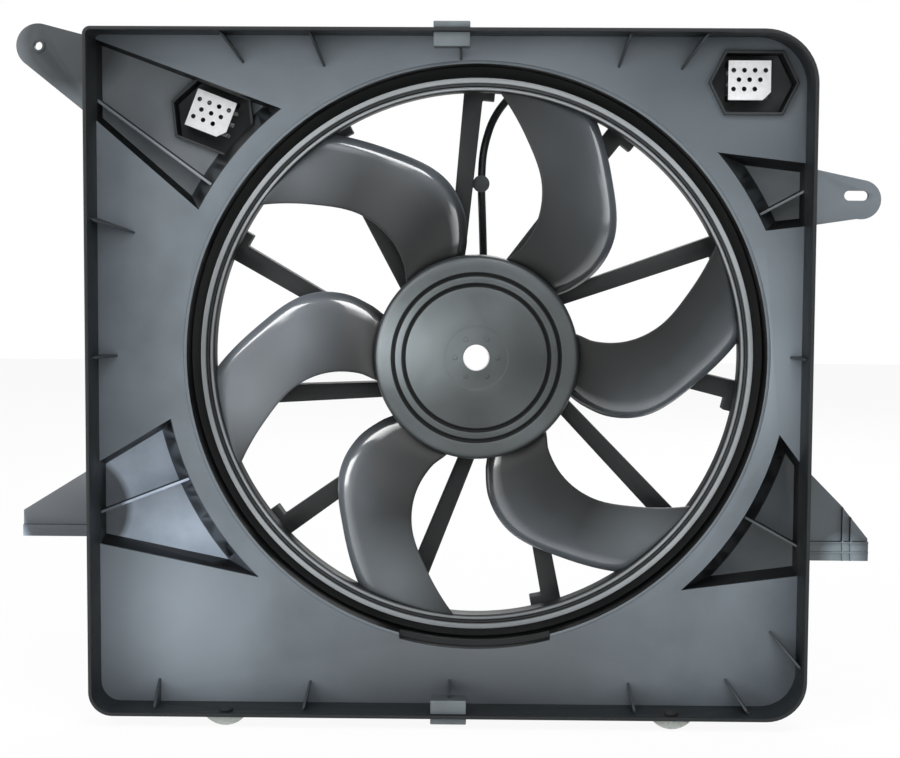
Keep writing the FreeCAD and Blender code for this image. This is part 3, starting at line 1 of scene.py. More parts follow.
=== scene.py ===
# %% [markdown]
# # A radiator fan, dressed for its portrait
# The object is the fan that sits behind a car's radiator: a flat plastic shroud with a rim round
# it, a six-blade fan in a tunnel, and an electric motor on thin struts behind. The exact solids
# are loaded first as a fixed frame. This file gives them rounded edges, smooth blades and
# finishes, and it photographs them as in the catalogue picture: straight on, a little from above.

# %% Load the frame
import json
import math

import bpy
from mathutils import Matrix, Vector

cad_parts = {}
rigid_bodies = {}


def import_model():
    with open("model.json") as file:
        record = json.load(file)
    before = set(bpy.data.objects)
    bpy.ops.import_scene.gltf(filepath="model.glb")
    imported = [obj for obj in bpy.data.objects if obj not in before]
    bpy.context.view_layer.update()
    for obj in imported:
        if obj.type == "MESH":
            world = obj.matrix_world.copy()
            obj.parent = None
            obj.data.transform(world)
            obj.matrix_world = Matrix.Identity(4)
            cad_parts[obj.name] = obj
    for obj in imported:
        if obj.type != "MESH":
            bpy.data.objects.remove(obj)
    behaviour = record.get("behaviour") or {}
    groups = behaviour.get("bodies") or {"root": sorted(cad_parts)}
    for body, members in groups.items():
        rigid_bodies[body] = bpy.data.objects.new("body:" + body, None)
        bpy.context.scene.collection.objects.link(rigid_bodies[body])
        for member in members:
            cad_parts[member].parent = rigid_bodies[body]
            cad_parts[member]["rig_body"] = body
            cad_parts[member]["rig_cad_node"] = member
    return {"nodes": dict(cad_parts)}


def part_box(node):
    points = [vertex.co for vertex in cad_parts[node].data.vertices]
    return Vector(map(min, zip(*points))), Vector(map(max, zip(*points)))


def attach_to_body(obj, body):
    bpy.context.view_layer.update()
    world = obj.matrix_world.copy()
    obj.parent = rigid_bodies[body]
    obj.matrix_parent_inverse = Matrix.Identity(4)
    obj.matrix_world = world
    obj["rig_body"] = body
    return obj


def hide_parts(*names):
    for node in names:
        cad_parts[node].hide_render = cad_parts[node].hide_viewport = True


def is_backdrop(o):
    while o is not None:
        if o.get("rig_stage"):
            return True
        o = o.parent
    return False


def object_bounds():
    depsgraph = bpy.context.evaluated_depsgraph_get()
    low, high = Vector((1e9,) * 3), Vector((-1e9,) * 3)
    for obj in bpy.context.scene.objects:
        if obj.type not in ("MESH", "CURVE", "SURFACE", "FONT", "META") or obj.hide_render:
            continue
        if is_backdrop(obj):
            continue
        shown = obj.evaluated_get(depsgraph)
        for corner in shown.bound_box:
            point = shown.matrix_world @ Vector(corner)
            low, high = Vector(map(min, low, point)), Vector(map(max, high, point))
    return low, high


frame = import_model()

MM = 0.001
nodes = frame["nodes"]
cad_low, cad_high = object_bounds()
print("frame: %d nodes, %.0f by %.0f by %.0f mm" % (len(nodes), *((cad_high - cad_low) / MM)))

# %% [markdown]
# ## The camera
# The picture was taken from 1.4 m with a long lens, which keeps the rim's edges almost parallel.
# A camera can be aimed with a constraint, but here its turn, tilt and roll are known as angles, so
# its axes are written down directly: first to the right, then up, then back towards the eye.

# %% Camera
EYE = Vector((0.0020, -1.3969, 0.0961))
TURN = math.radians(0.877)
TILT = math.radians(4.51)
ROLL = math.radians(0.32)
FILM_WIDE = 36.0
LENS = 75.56

level_right = Vector((math.cos(TURN), math.sin(TURN), 0))
level_ahead = Vector((-math.sin(TURN), math.cos(TURN), 0))
ahead = level_ahead * math.cos(TILT) - Vector((0, 0, math.sin(TILT)))
level_up = level_ahead * math.sin(TILT) + Vector((0, 0, math.cos(TILT)))
right = level_right * math.cos(ROLL) + level_up * math.sin(ROLL)
up = level_up * math.cos(ROLL) - level_right * math.sin(ROLL)

bpy.ops.object.select_all(action="DESELECT")
bpy.ops.object.camera_add(location=EYE)
camera = bpy.context.object
camera.name = "catalogue_camera"
camera.matrix_world = Matrix((
    (right.x, up.x, -ahead.x, EYE.x),
    (right.y, up.y, -ahead.y, EYE.y),
    (right.z, up.z, -ahead.z, EYE.z),
    (0, 0, 0, 1)))
camera.data.lens = LENS
camera.data.sensor_width = FILM_WIDE
bpy.context.scene.camera = camera
print("camera: %.2f m from the fan, lens %.1f mm" % (EYE.length, LENS))

# %% [markdown]
# ## Colours and nodes
# Colours are picked as sRGB hex values, the way a paint program shows them, but shaders work with
# light, so one function turns a hex value to linear numbers. One more function adds a shader node
# with its settings and links in one line, which keeps the materials short enough to read.

# %% Colour and node helpers
def tone(code):
    """A hex colour such as #6d757c as a linear colour with full alpha."""
    shares = [int(code[k:k + 2], 16) / 255 for k in (1, 3, 5)]
    linear = [s / 12.92 if s <= 0.04045 else ((s + 0.055) / 1.055) ** 2.4 for s in shares]
    return (*linear, 1)


def add_node(material, kind, links=None, **settings):
    """Add a node, set its properties and input values, and link its inputs by name or number."""
    node = material.node_tree.nodes.new(kind)
    for name, value in settings.items():
        if hasattr(node, name):
            setattr(node, name, value)
        else:
            node.inputs[name.replace("_", " ")].default_value = value
    for name, source in (links or {}).items():
        material.node_tree.links.new(source, node.inputs[name])
    return node


def set_stops(ramp, *stops):
    """Give a colour ramp its stops: (place, colour), from low to high."""
    elements = ramp.color_ramp.elements
    while len(elements) < len(stops):
        elements.new(0.5)
    for element, (place, colour) in zip(elements, stops):
        element.position = place
        element.color = colour


print("mid grey #6d757c is", [round(c, 3) for c in tone("#6d757c")[:3]])

# %% [markdown]
# ## The studio
# The background is plain white. A white floor that is only lit turns grey, so the world and the
# floor glow white for the camera alone, and the softboxes can stay at a plain level. The floor
# mixes in a little real shading, so that the object still has a soft shadow to stand in.

# %% Floor and world
FLOOR_GAP = 1.5 * MM
FLOOR_SIZE = 8.0
FLOOR_GLOW = 0.93
WORLD_LIGHT = 0.28
floor_height = cad_low.z - FLOOR_GAP

bpy.ops.object.select_all(action="DESELECT")
bpy.ops.mesh.primitive_plane_add(size=FLOOR_SIZE, location=(0, 0, floor_height))
floor = bpy.context.object
floor.name = "studio_floor"
floor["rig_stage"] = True

paper = bpy.data.materials.new("white_paper_floor")
paper.use_nodes = True
paper.node_tree.nodes.clear()
place = add_node(paper, "ShaderNodeTexCoord")
fibres = add_node(paper, "ShaderNodeTexNoise", {"Vector": place.outputs["Object"]}, Scale=40.0,
                  Detail=3.0)
shade = add_node(paper, "ShaderNodeValToRGB", {"Fac": fibres.outputs["Fac"]})
set_stops(shade, (0.3, tone("#f2f2f0")), (0.7, tone("#f8f8f6")))
matt = add_node(paper, "ShaderNodeBsdfDiffuse", {"Color": shade.outputs["Color"]})
glow = add_node(paper, "ShaderNodeEmission", Color=(1, 1, 1, 1), Strength=1.0)
rays = add_node(paper, "ShaderNodeLightPath")
seen = add_node(paper, "ShaderNodeMath", {0: rays.outputs["Is Camera Ray"]}, operation="MULTIPLY")
seen.inputs[1].default_value = FLOOR_GLOW
mixed = add_node(paper, "ShaderNodeMixShader", {0: seen.outputs[0], 1: matt.outputs[0],
                                                2: glow.outputs[0]})
add_node(paper, "ShaderNodeOutputMaterial", {"Surface": mixed.outputs[0]})
floor.data.materials.append(paper)

world = bpy.data.worlds.new("studio_white")
bpy.context.scene.world = world
world.use_nodes = True
world.node_tree.nodes.clear()
dim = add_node(world, "ShaderNodeBackground", Color=tone("#dfe4ea"), Strength=WORLD_LIGHT)
white = add_node(world, "ShaderNodeBackground", Color=(1, 1, 1, 1), Strength=1.0)
sky_rays = add_node(world, "ShaderNodeLightPath")
both = add_node(world, "ShaderNodeMixShader", {0: sky_rays.outputs["Is Camera Ray"], 1: dim.outputs[0],
                                               2: white.outputs[0]})
add_node(world, "ShaderNodeOutputWorld", {"Surface": both.outputs[0]})
bpy.context.scene.view_settings.view_transform = "Standard"
print("floor at %.1f mm" % (floor_height / MM))

# %% [markdown]
# ## Softboxes
# Black plastic is drawn by what it reflects more than by its own colour. Three softboxes stand in an
# arc from above to the left and lay white stripes along the rolled edges of the blades. A wide one
# over the camera lifts the flat plate to grey, a weaker one on the right keeps the far walls from
# going black, and one behind lights the motor for views from the back.

# %% Lamps
# Each softbox: its name, its place, the point it aims at, its width in metres and its power in watts.
LAMPS = [
    ("top_softbox", (0.5, -1.2, 2.1), (0, 0.04, 0), 1.1, 27),
    ("upper_left_softbox", (-1.5, -1.2, 1.6), (0, 0.04, 0), 1.1, 24),
    ("left_softbox", (-2.2, -1.2, 0.1), (0, 0.04, 0), 1.1, 25),
    ("front_softbox", (0.2, -2.6, 1.1), (0, 0.04, 0), 1.6, 13.5),
    ("right_softbox", (1.8, -1.2, 0.5), (0.05, 0.04, 0), 1.0, 7),
    ("back_softbox", (0.4, 1.8, 1.2), (0, 0.08, 0), 1.4, 22),
]
for name, spot, aim, wide, power in LAMPS:
    bpy.ops.object.select_all(action="DESELECT")
    bpy.ops.object.light_add(type="AREA", location=spot)
    lamp = bpy.context.object
    lamp.name = name
    lamp.data.shape = "SQUARE"
    lamp.data.size = wide
    lamp.data.energy = power
    lamp.rotation_euler = (Vector(aim) - Vector(spot)).to_track_quat("-Z", "Y").to_euler()
    print("lamp", name, power, "W")

# %% [markdown]
# ## Moulded plastic
# Shroud and fan are injection-moulded polypropylene with glass fibre and a black pigment. The eye
# sees three things: a satin gloss, cloudy streaks where the melt flowed, and a pale sheen on the
# faces that look forward, which is painted into the colour. One function makes that finish from
# three tones: one for side faces, darker as painted shade, and two for the darker and lighter
# clouds of the painted sheen. The painted sheen follows the face's own direction, so it stays where
# it is when the camera walks round. A patch is a round place with a soft edge where the painted
# sheen is lighter or darker, as painted reflection and shade. A groove about the fan's axis is
# painted black as shade.

# %% Ranges, mixes and patches
def set_range(node, low, high, first, last):
    """Set what a Map Range node takes in and gives out."""
    for socket, value in (("From Min", low), ("From Max", high), ("To Min", first), ("To Max", last)):
        node.inputs[socket].default_value = value


def mix_colours(material, share, first, second):
    """Mix two colours, each a socket or a hex tone, by the share that a socket gives."""
    node = add_node(material, "ShaderNodeMix", {0: share}, data_type="RGBA")
    for place, colour in ((6, first), (7, second)):
        if isinstance(colour, str):
            node.inputs[place].default_value = tone(colour)
        else:
            material.node_tree.links.new(colour, node.inputs[place])
    return node.outputs[2]


def seen_flat(material, place):
    """The place on the object seen from the front: x and z, without the depth."""
    flat = add_node(material, "ShaderNodeVectorMath", {0: place.outputs["Object"]},
                    operation="MULTIPLY")
    flat.inputs[1].default_value = (1, 0, 1)
    return flat


PATCH_SHARE = 0.85


def add_patches(material, flat, painted_light, patches):
    """Lay round patches of painted reflection and shade, with a soft edge, over a colour."""
    for x, z, reach, soft, colour in patches:
        away = add_node(material, "ShaderNodeVectorMath", {0: flat.outputs[0]}, operation="DISTANCE")
        away.inputs[1].default_value = (x * MM, 0, z * MM)
        near = add_node(material, "ShaderNodeMapRange", {"Value": away.outputs["Value"]})
        set_range(near, (reach + soft) * MM, (reach - soft) * MM, 0.0, PATCH_SHARE)
        painted_light = mix_colours(material, near.outputs[0], painted_light, colour)
    return painted_light


def new_material(name):
    """A material with an empty node tree."""
    material = bpy.data.materials.new(name)
    material.use_nodes = True
    material.node_tree.nodes.clear()
    return material


print("patches cover %.0f%% at their middle" % (100 * PATCH_SHARE))

# %% Moulded polypropylene
PLASTIC_IOR = 1.49
RELIEF_DEEP = 0.2 * MM
CLOUD_MM = 45
GRAIN_MM = 1.6
GROOVE_SHADE_REACH = (1.1, 1.9)
EDGE_SHEEN_REACH = (0.9, 1.4)
PLATE_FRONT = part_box("shroud_plate")[0].y / MM


def moulded_plastic(name, wall, face, pale, gloss, patches=(), edge=None, shaded_grooves=()):
    """Black moulded plastic: side faces in the wall tone as painted shade, forward faces face to pale in
    clouds as painted sheen.
    """
    material = new_material(name)
    place = add_node(material, "ShaderNodeTexCoord")
    cloud = add_node(material, "ShaderNodeTexNoise", {"Vector": place.outputs["Object"]},
                     Scale=1000 / CLOUD_MM, Detail=5.0, Roughness=0.55)
    grain = add_node(material, "ShaderNodeTexNoise", {"Vector": place.outputs["Object"]},
                     Scale=1000 / GRAIN_MM, Detail=2.0)
    ramp = add_node(material, "ShaderNodeValToRGB", {"Fac": cloud.outputs["Fac"]})
    set_stops(ramp, (0.32, tone(face)), (0.7, tone(pale)))
    flat = seen_flat(material, place)
    painted_light = add_patches(material, flat, ramp.outputs["Color"], patches)
    # Painted sheen: the tunnel's front rim, at the plate's level, takes the plate's lighter tone.
    if edge:
        deep = add_node(material, "ShaderNodeSeparateXYZ", {"Vector": place.outputs["Object"]})
        front = add_node(material, "ShaderNodeMapRange", {"Value": deep.outputs["Y"]})
        near, far = (PLATE_FRONT + EDGE_SHEEN_REACH[0]) * MM, (PLATE_FRONT + EDGE_SHEEN_REACH[1]) * MM
        set_range(front, far, near, 0.0, 1.0)
        painted_light = mix_colours(material, front.outputs[0], painted_light, edge)
    # Painted sheen and shade: faces that look forward take the sheen's tones, side faces the darker wall
    # tone.
    shape = add_node(material, "ShaderNodeNewGeometry")
    split = add_node(material, "ShaderNodeSeparateXYZ", {"Vector": shape.outputs["Normal"]})
    forward = add_node(material, "ShaderNodeMapRange", {"Value": split.outputs["Y"]})
    set_range(forward, -0.55, -0.95, 0.0, 1.0)
    body = mix_colours(material, forward.outputs[0], wall, painted_light)
    # Painted shade: the hub's grooves are mixed to near-black about their radii.
    for radius in shaded_grooves:
        out = add_node(material, "ShaderNodeVectorMath", {0: flat.outputs[0]}, operation="LENGTH")
        off = add_node(material, "ShaderNodeMath", {0: out.outputs["Value"]}, operation="SUBTRACT")
        off.inputs[1].default_value = radius * MM
        apart = add_node(material, "ShaderNodeMath", {0: off.outputs[0]}, operation="ABSOLUTE")
        inside = add_node(material, "ShaderNodeMapRange", {"Value": apart.outputs[0]})
        set_range(inside, GROOVE_SHADE_REACH[1] * MM, GROOVE_SHADE_REACH[0] * MM, 0.0, 0.9)
        body = mix_colours(material, inside.outputs[0], body, "#050606")
    shine = add_node(material, "ShaderNodeMapRange", {"Value": cloud.outputs["Fac"]})
    set_range(shine, 0.3, 0.7, gloss - 0.05, gloss + 0.07)
    relief = add_node(material, "ShaderNodeBump", {"Height": grain.outputs["Fac"]}, Strength=0.12,
                      Distance=RELIEF_DEEP)
    surface = add_node(material, "ShaderNodeBsdfPrincipled", {"Base Color": body,
                       "Roughness": shine.outputs[0], "Normal": relief.outputs[0]}, IOR=PLASTIC_IOR)
    add_node(material, "ShaderNodeOutputMaterial", {"Surface": surface.outputs[0]})
    return material


def paint(names, material):
    """Give CAD nodes their finish."""
    for name in names:
        nodes[name].data.materials.clear()
        nodes[name].data.materials.append(material)


print("the plate's front is at %.1f mm" % PLATE_FRONT)

# %% Tones of the moulded pieces
# Each node: the tone of its side faces, which is painted shade, the painted sheen's darker and lighter
# tone, and the roughness.
MOULDED = {
    "shroud_plate": ("#1c2124", "#5f676d", "#6d757c", 0.5),
    "shroud_rim": ("#14181a", "#101315", "#191d20", 0.5),
    "wall_gussets": ("#2b3135", "#23282b", "#2c3236", 0.5),
    # Painted shade: the channels' side walls are near-black, as in their deep mouths.
    "channel_mount_upper_left": ("#0b0d0f", "#5e656a", "#6c7378", 0.45),
    "channel_mount_upper_right": ("#0b0d0f", "#60666a", "#6e7478", 0.45),
    # Painted reflection: the lower left channel takes a bright bluish sheen.
    "channel_mount_lower_left": ("#0b0d0f", "#a5b3c3", "#c8d6e8", 0.35),
    "channel_mount_lower_right": ("#0b0d0f", "#4a4f52", "#5a5f63", 0.45),
    # Painted shade: the tunnel is near-black all over, as the deep gap round the fan.
    "tunnel": ("#08090a", "#0a0c0d", "#101315", 0.5),
    "struts": ("#101314", "#111415", "#181c1d", 0.55),
    "motor_ring": ("#101314", "#181c1d", "#222628", 0.5),
    "fan_hub": ("#262a2c", "#474c4e", "#565c5e", 0.42),
    # Painted sheen on the band's front, and painted shade on its walls.
    "fan_band": ("#0c0d0e", "#888c8f", "#989c9f", 0.42),
    "resistor_frame_left": ("#16181a", "#26292b", "#323537", 0.45),
    "resistor_frame_right": ("#16181a", "#26292b", "#323537", 0.45),
    "lead_clip": ("#1c2021", "#272b2d", "#32373a", 0.45),
    "lead_connector": ("#202426", "#2b3032", "#363b3e", 0.45),
    "connector_bracket": ("#202426", "#2b3032", "#363b3e", 0.45),
    "brush_card": ("#3a2a20", "#4a3728", "#553f2f", 0.5),
    "top_clip": ("#3a3f42", "#585d61", "#6e777b", 0.45),
    "bottom_clip": ("#3a3f42", "#585d61", "#6e777b", 0.45),
}

# %% Patches of painted reflection and shade, and the moulded pieces painted
HUB_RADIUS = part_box("fan_hub")[1].x / MM
GROOVES = (HUB_RADIUS - 22.5, HUB_RADIUS - 14.5)
# Painted sheen on the tunnel's front rim.
TUNNEL_RIM_SHEEN = "#666e74"

# Painted reflection and shade, where the sheen is lighter or darker. Each patch: place (x, z),
# reach and softness of the patch's edge in mm, tone.
PAINTED_LIGHT_PATCHES = {
    "shroud_plate": [(0, -240, 120, 60, "#4f5458"), (170, 200, 80, 40, "#565e64"),
                     (-245, -205, 60, 40, "#8c959e"), (240, -10, 60, 40, "#858e96"),
                     (0, 235, 90, 50, "#727a81"), (-215, 230, 50, 35, "#6e767d")],
    "channel_mount_upper_left": [(-312, 240, 40, 8, "#24282b"), (-205, 150, 40, 12, "#7d8388")],
    "channel_mount_upper_right": [(285, 124, 33, 8, "#747c83")],
    "channel_mount_lower_left": [(-312, -122, 42, 3, "#1e2226"), (-321, -125, 34, 8, "#3c4147")],
    "channel_mount_lower_right": [(285, -120, 30, 6, "#4f565a"), (240, -88, 14, 8, "#5a5f63"),
                                  (285, -154, 14, 5, "#8f9da4")],
    "fan_blades": [(-72, 127, 26, 22, "#1c2022"), (-29, 98, 26, 16, "#0a0b0c"),
                   (-134, 140, 24, 20, "#54595d"), (60, 158, 30, 24, "#33373a"),
                   (73, 93, 26, 20, "#2c3033"), (129, -147, 30, 22, "#5c6266"),
                   (-63, -175, 30, 24, "#5e6468"), (-138, 14, 30, 22, "#62686e"),
                   (-182, -30, 34, 24, "#6e7479")],
    "fan_band": [(-210, -6, 90, 60, "#666a6d"), (4, -214, 90, 60, "#717578"),
                 (1, 208, 80, 50, "#a4a8ab")],
    "fan_hub": [(-42, 12, 26, 24, "#7d8586"), (46, -4, 30, 24, "#282b2a"),
                (0, -48, 26, 20, "#333535"), (-68, 10, 20, 16, "#8f979b")],
}
for name, (wall, face, pale, gloss) in MOULDED.items():
    edge = TUNNEL_RIM_SHEEN if name == "tunnel" else None
    shaded_grooves = GROOVES if name == "fan_hub" else ()
    paint([name], moulded_plastic("moulded_" + name, wall, face, pale, gloss, PAINTED_LIGHT_PATCHES.get(name, ()),
                                  edge, shaded_grooves))
print("moulded finishes:", len(MOULDED))

# %% [markdown]
# ## Blades
# The blades are of the same plastic. Their colour carries painted light and shade: it grows
# lighter towards the rear edge, and the front edge and the root stay almost black. The rolled rear
# edge is polished by handling, so it alone has a clear, mirror-like coat. The blade's grid has a
# flat map of itself, from 0 at the front edge to 1 at the rear one and from 0 at the root to 1 at
# the tip, and ramps over it paint the shading.

# %% Blade plastic
BLADE_CLOUD_MM = 30
BLADE_GRAIN_MM = 1.4


def blade_plastic(name, stops, patches):
    """Moulded plastic with painted shade, darker to the front edge and the root, and polished along the
    rear edge.
    """
    material = new_material(name)
    place = add_node(material, "ShaderNodeTexCoord")
    along = add_node(material, "ShaderNodeSeparateXYZ", {"Vector": place.outputs["UV"]})
    cloud = add_node(material, "ShaderNodeTexNoise", {"Vector": place.outputs["Object"]},
                     Scale=1000 / BLADE_CLOUD_MM, Detail=4.0)
    wander = add_node(material, "ShaderNodeMapRange", {"Value": cloud.outputs["Fac"]})
    set_range(wander, 0.3, 0.7, -0.04, 0.04)
    spot = add_node(material, "ShaderNodeMath", {0: along.outputs["X"], 1: wander.outputs[0]},
                    operation="ADD")
    # Painted light and shade: darker at the front edge, lighter towards the rear edge.
    ramp = add_node(material, "ShaderNodeValToRGB", {"Fac": spot.outputs[0]})
    set_stops(ramp, *[(where, tone(code)) for where, code in stops])
    # Painted shade: the blade turns near-black towards the root.
    out = add_node(material, "ShaderNodeMapRange", {"Value": along.outputs["Y"]})
    set_range(out, 0.02, 0.5, 1.0, 0.0)
    painted_light = add_patches(material, seen_flat(material, place), ramp.outputs["Color"], patches)
    body = mix_colours(material, out.outputs[0], painted_light, "#090a0a")
    grain = add_node(material, "ShaderNodeTexNoise", {"Vector": place.outputs["Object"]},
                     Scale=1000 / BLADE_GRAIN_MM, Detail=2.0)
    relief = add_node(material, "ShaderNodeBump", {"Height": grain.outputs["Fac"]}, Strength=0.06,
                      Distance=RELIEF_DEEP)
    polish = add_node(material, "ShaderNodeMapRange", {"Value": along.outputs["X"]})
    set_range(polish, 0.66, 0.8, 0.0, 1.0)
    surface = add_node(material, "ShaderNodeBsdfPrincipled", {"Base Color": body,
                       "Coat Weight": polish.outputs[0], "Normal": relief.outputs[0]},
                       Roughness=0.42, IOR=PLASTIC_IOR, Coat_Roughness=0.13, Coat_IOR=2.1)
    add_node(material, "ShaderNodeOutputMaterial", {"Surface": surface.outputs[0]})
    return material


# Painted shade across the chord, from the front edge to the rear one.
BLADE_SHADE_TONES = [(0.0, "#0a0b0c"), (0.3, "#24282b"), (0.62, "#43484c"), (0.8, "#5c6268")]
paint(["fan_blades"], blade_plastic("moulded_fan_blades", BLADE_SHADE_TONES, PAINTED_LIGHT_PATCHES["fan_blades"]))
print("blade tones from front to rear edge:", [code for _, code in BLADE_SHADE_TONES])

# %% [markdown]
# ## Metal, rubber, wire and ceramic
# The other pieces are of some twenty stuffs that differ in colour, gloss and grain. One function
# makes them all: two tones mixed in fine or coarse clouds, a roughness that wanders with them, and
# a light bump. Sheet steel gets its zinc spangle from coarse clouds, a drawn wire its fine grain.
# The pads' heads, inside the rim, are dark, so a third tone can start above a height.

# %% One function for the other finishes
def clouded(name, low, high, rough, metal, cloud_mm, bump, stretch=(1, 1, 1), above=None):
    """A finish of two tones in clouds of a given size, metal or not, and a third above a height."""
    material = new_material(name)
    place = add_node(material, "ShaderNodeTexCoord")
    scaled = add_node(material, "ShaderNodeMapping", {"Vector": place.outputs["Object"]})
    scaled.inputs["Scale"].default_value = stretch
    cloud = add_node(material, "ShaderNodeTexNoise", {"Vector": scaled.outputs[0]},
                     Scale=1000 / cloud_mm, Detail=3.0)
    ramp = add_node(material, "ShaderNodeValToRGB", {"Fac": cloud.outputs["Fac"]})
    set_stops(ramp, (0.35, tone(low)), (0.65, tone(high)))
    shine = add_node(material, "ShaderNodeMapRange", {"Value": cloud.outputs["Fac"]})
    set_range(shine, 0.3, 0.7, rough - 0.06, rough + 0.06)
    relief = add_node(material, "ShaderNodeBump", {"Height": cloud.outputs["Fac"]}, Strength=bump,
                      Distance=RELIEF_DEEP)
    body = ramp.outputs["Color"]
    if above:
        height = add_node(material, "ShaderNodeSeparateXYZ", {"Vector": place.outputs["Object"]})
        high_up = add_node(material, "ShaderNodeMapRange", {"Value": height.outputs["Z"]})
        set_range(high_up, above[0] * MM, (above[0] + 0.6) * MM, 0.0, 1.0)
        body = mix_colours(material, high_up.outputs[0], body, above[1])
    surface = add_node(material, "ShaderNodeBsdfPrincipled", {"Base Color": body,
                       "Roughness": shine.outputs[0], "Normal": relief.outputs[0]}, Metallic=metal)
    add_node(material, "ShaderNodeOutputMaterial", {"Surface": surface.outputs[0]})
    return material


RIM_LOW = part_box("shroud_rim")[0].z / MM
print("the rim's lower edge is at %.1f mm" % RIM_LOW)

# %% Finishes of the other pieces
# Nodes, then a finish: name, two tones, roughness, metal, size of the clouds in mm, bump, stretch.
PLAIN = [
    (("motor_can", "motor_end_cap", "motor_flange"),
     ("zinc_plated_sheet_steel", "#8f9293", "#a9acad", 0.42, 1.0, 9.0, 0.06)),
    (("motor_screws", "fan_nut", "front_bearing", "hub_insert"),
     ("bright_zinc_steel", "#a4a7a8", "#b9bcbd", 0.33, 1.0, 3.0, 0.04)),
    (("motor_shaft",), ("ground_steel", "#b4b6b7", "#c6c8c9", 0.22, 1.0, 1.5, 0.03, (1, 6, 1))),
    (("armature_core",),
     ("stacked_core_sheets", "#55585a", "#74777a", 0.45, 1.0, 0.8, 0.3, (0.1, 12, 0.1))),
    (("armature_winding",), ("enamelled_copper_wire", "#8a3f1c", "#b25a2a", 0.32, 1.0, 1.2, 0.5)),
    (("commutator", "connector_pins"), ("tin_brass", "#a98c4e", "#c3a765", 0.3, 1.0, 2.0, 0.05)),
    (("rear_bush",), ("sintered_bronze", "#7d5f3a", "#95744a", 0.5, 1.0, 0.9, 0.3)),
    (("brush_holders",), ("stamped_brass", "#a8884a", "#bd9d5c", 0.36, 1.0, 4.0, 0.05)),
    (("brush_upper", "brush_lower"), ("pressed_graphite", "#1c1c1e", "#2b2b2e", 0.55, 0.0, 0.8, 0.3)),
    (("brush_spring_upper", "brush_spring_lower", "magnet_springs"),
     ("spring_steel", "#6d7072", "#85888a", 0.3, 1.0, 1.2, 0.05)),
    (("field_magnets",), ("fired_ferrite", "#2c2b2c", "#3a393a", 0.62, 0.0, 1.5, 0.3)),
    (("motor_lead",), ("ribbed_vinyl_sleeve", "#141517", "#222427", 0.42, 0.0, 1.8, 0.3)),
    (("lead_grommet",), ("black_rubber", "#151515", "#202020", 0.7, 0.0, 1.5, 0.2)),
    (("lower_pad_left", "lower_pad_right"),
     ("grey_foam_rubber", "#9ea39f", "#b7bbb7", 0.75, 0.0, 1.4, 0.4, (1, 1, 1),
      (RIM_LOW + 0.4, "#141618"))),
    (("hub_plug",), ("white_nylon_plug", "#e2e0e2", "#f4f2f4", 0.35, 0.0, 2.5, 0.08)),
    (("resistor_guard_left", "resistor_guard_right"),
     ("tinned_guard_sheet", "#f4f4f6", "#fbfbfc", 0.45, 0.0, 3.0, 0.04)),
    (("resistor_core_left", "resistor_core_right"),
     ("dark_ceramic", "#17181a", "#212326", 0.7, 0.0, 1.2, 0.2)),
    (("resistor_coil_left", "resistor_coil_right"),
     ("heat_darkened_wire", "#141313", "#1f1d1d", 0.5, 0.0, 0.7, 0.2)),
    (("resistor_terminals_left", "resistor_terminals_right"),
     ("tinned_terminals", "#5d6063", "#74777a", 0.4, 1.0, 2.0, 0.05)),
]
for names, values in PLAIN:
    paint(names, clouded(*values))
painted = set(MOULDED) | {"fan_blades"} | {name for names, _ in PLAIN for name in names}
unpainted = [name for name in nodes if name not in painted]
print("other finishes:", len(PLAIN), "left without one:", unpainted)

# %% [markdown]
# ## Rounded edges
# No moulded or pressed part has a knife edge: the mould rounds it, and the thin light line along
# that rounding is what makes an edge look real. The solids come as loose triangles with sharp
# edges. Each visible one is copied, its doubles are merged, its flat triangles are joined to whole
# faces, and a Bevel modifier rounds what is left sharp. The solid itself stays as it was.

# %% Soften the edges of a copied solid
def finish_with_modifiers(piece):
    """Apply a piece's modifiers in order."""
    bpy.ops.object.select_all(action="DESELECT")
    piece.select_set(True)
    bpy.context.view_layer.objects.active = piece
    for modifier in list(piece.modifiers):
        bpy.ops.object.modifier_apply(modifier=modifier.name)


def attach(piece, body, finish, replaced=()):
    """Give a finished piece its material and its body, and hide the CAD nodes that it stands for."""
    piece.data.materials.clear()
    piece.data.materials.append(finish)
    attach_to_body(piece, body)
    if replaced:
        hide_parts(*replaced)
    return piece


SHARP = math.radians(32)


def soften(name, width_mm):
    """A copy of a CAD node with whole faces and rounded edges, which stands for the node."""
    bpy.ops.object.select_all(action="DESELECT")
    nodes[name].select_set(True)
    bpy.context.view_layer.objects.active = nodes[name]
    bpy.ops.object.duplicate()
    piece = bpy.context.object
    piece.name = name + "_soft"
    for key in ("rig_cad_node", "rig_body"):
        if key in piece:
            del piece[key]
    bpy.ops.mesh.customdata_custom_splitnormals_clear()
    bpy.ops.object.mode_set(mode="EDIT")
    bpy.ops.mesh.select_all(action="SELECT")
    bpy.ops.mesh.remove_doubles(threshold=0.004 * MM)
    bpy.ops.mesh.dissolve_limited(angle_limit=math.radians(0.6))
    bpy.ops.object.mode_set(mode="OBJECT")
    bevel = piece.modifiers.new("rounding", "BEVEL")
    bevel.width = width_mm * MM
    bevel.segments = 2
    bevel.limit_method = "ANGLE"
    bevel.angle_limit = SHARP
    bevel.use_clamp_overlap = True
    finish_with_modifiers(piece)
    bpy.ops.object.shade_smooth_by_angle(angle=SHARP)
    finish = nodes[name].data.materials[0]
    return attach(piece, "shroud", finish, [name])


print("edges sharper than %.0f degrees are rounded" % math.degrees(SHARP))

# %% [markdown]
# ## How round each edge is
# Walls, channels, gussets and struts get a rounding of about half a millimetre, as a mould has. The
# thin guards, the flange and the screws get much less, so that they don't look melted, and the soft
# pads more. Pieces that are hidden inside the motor keep their plain edges.

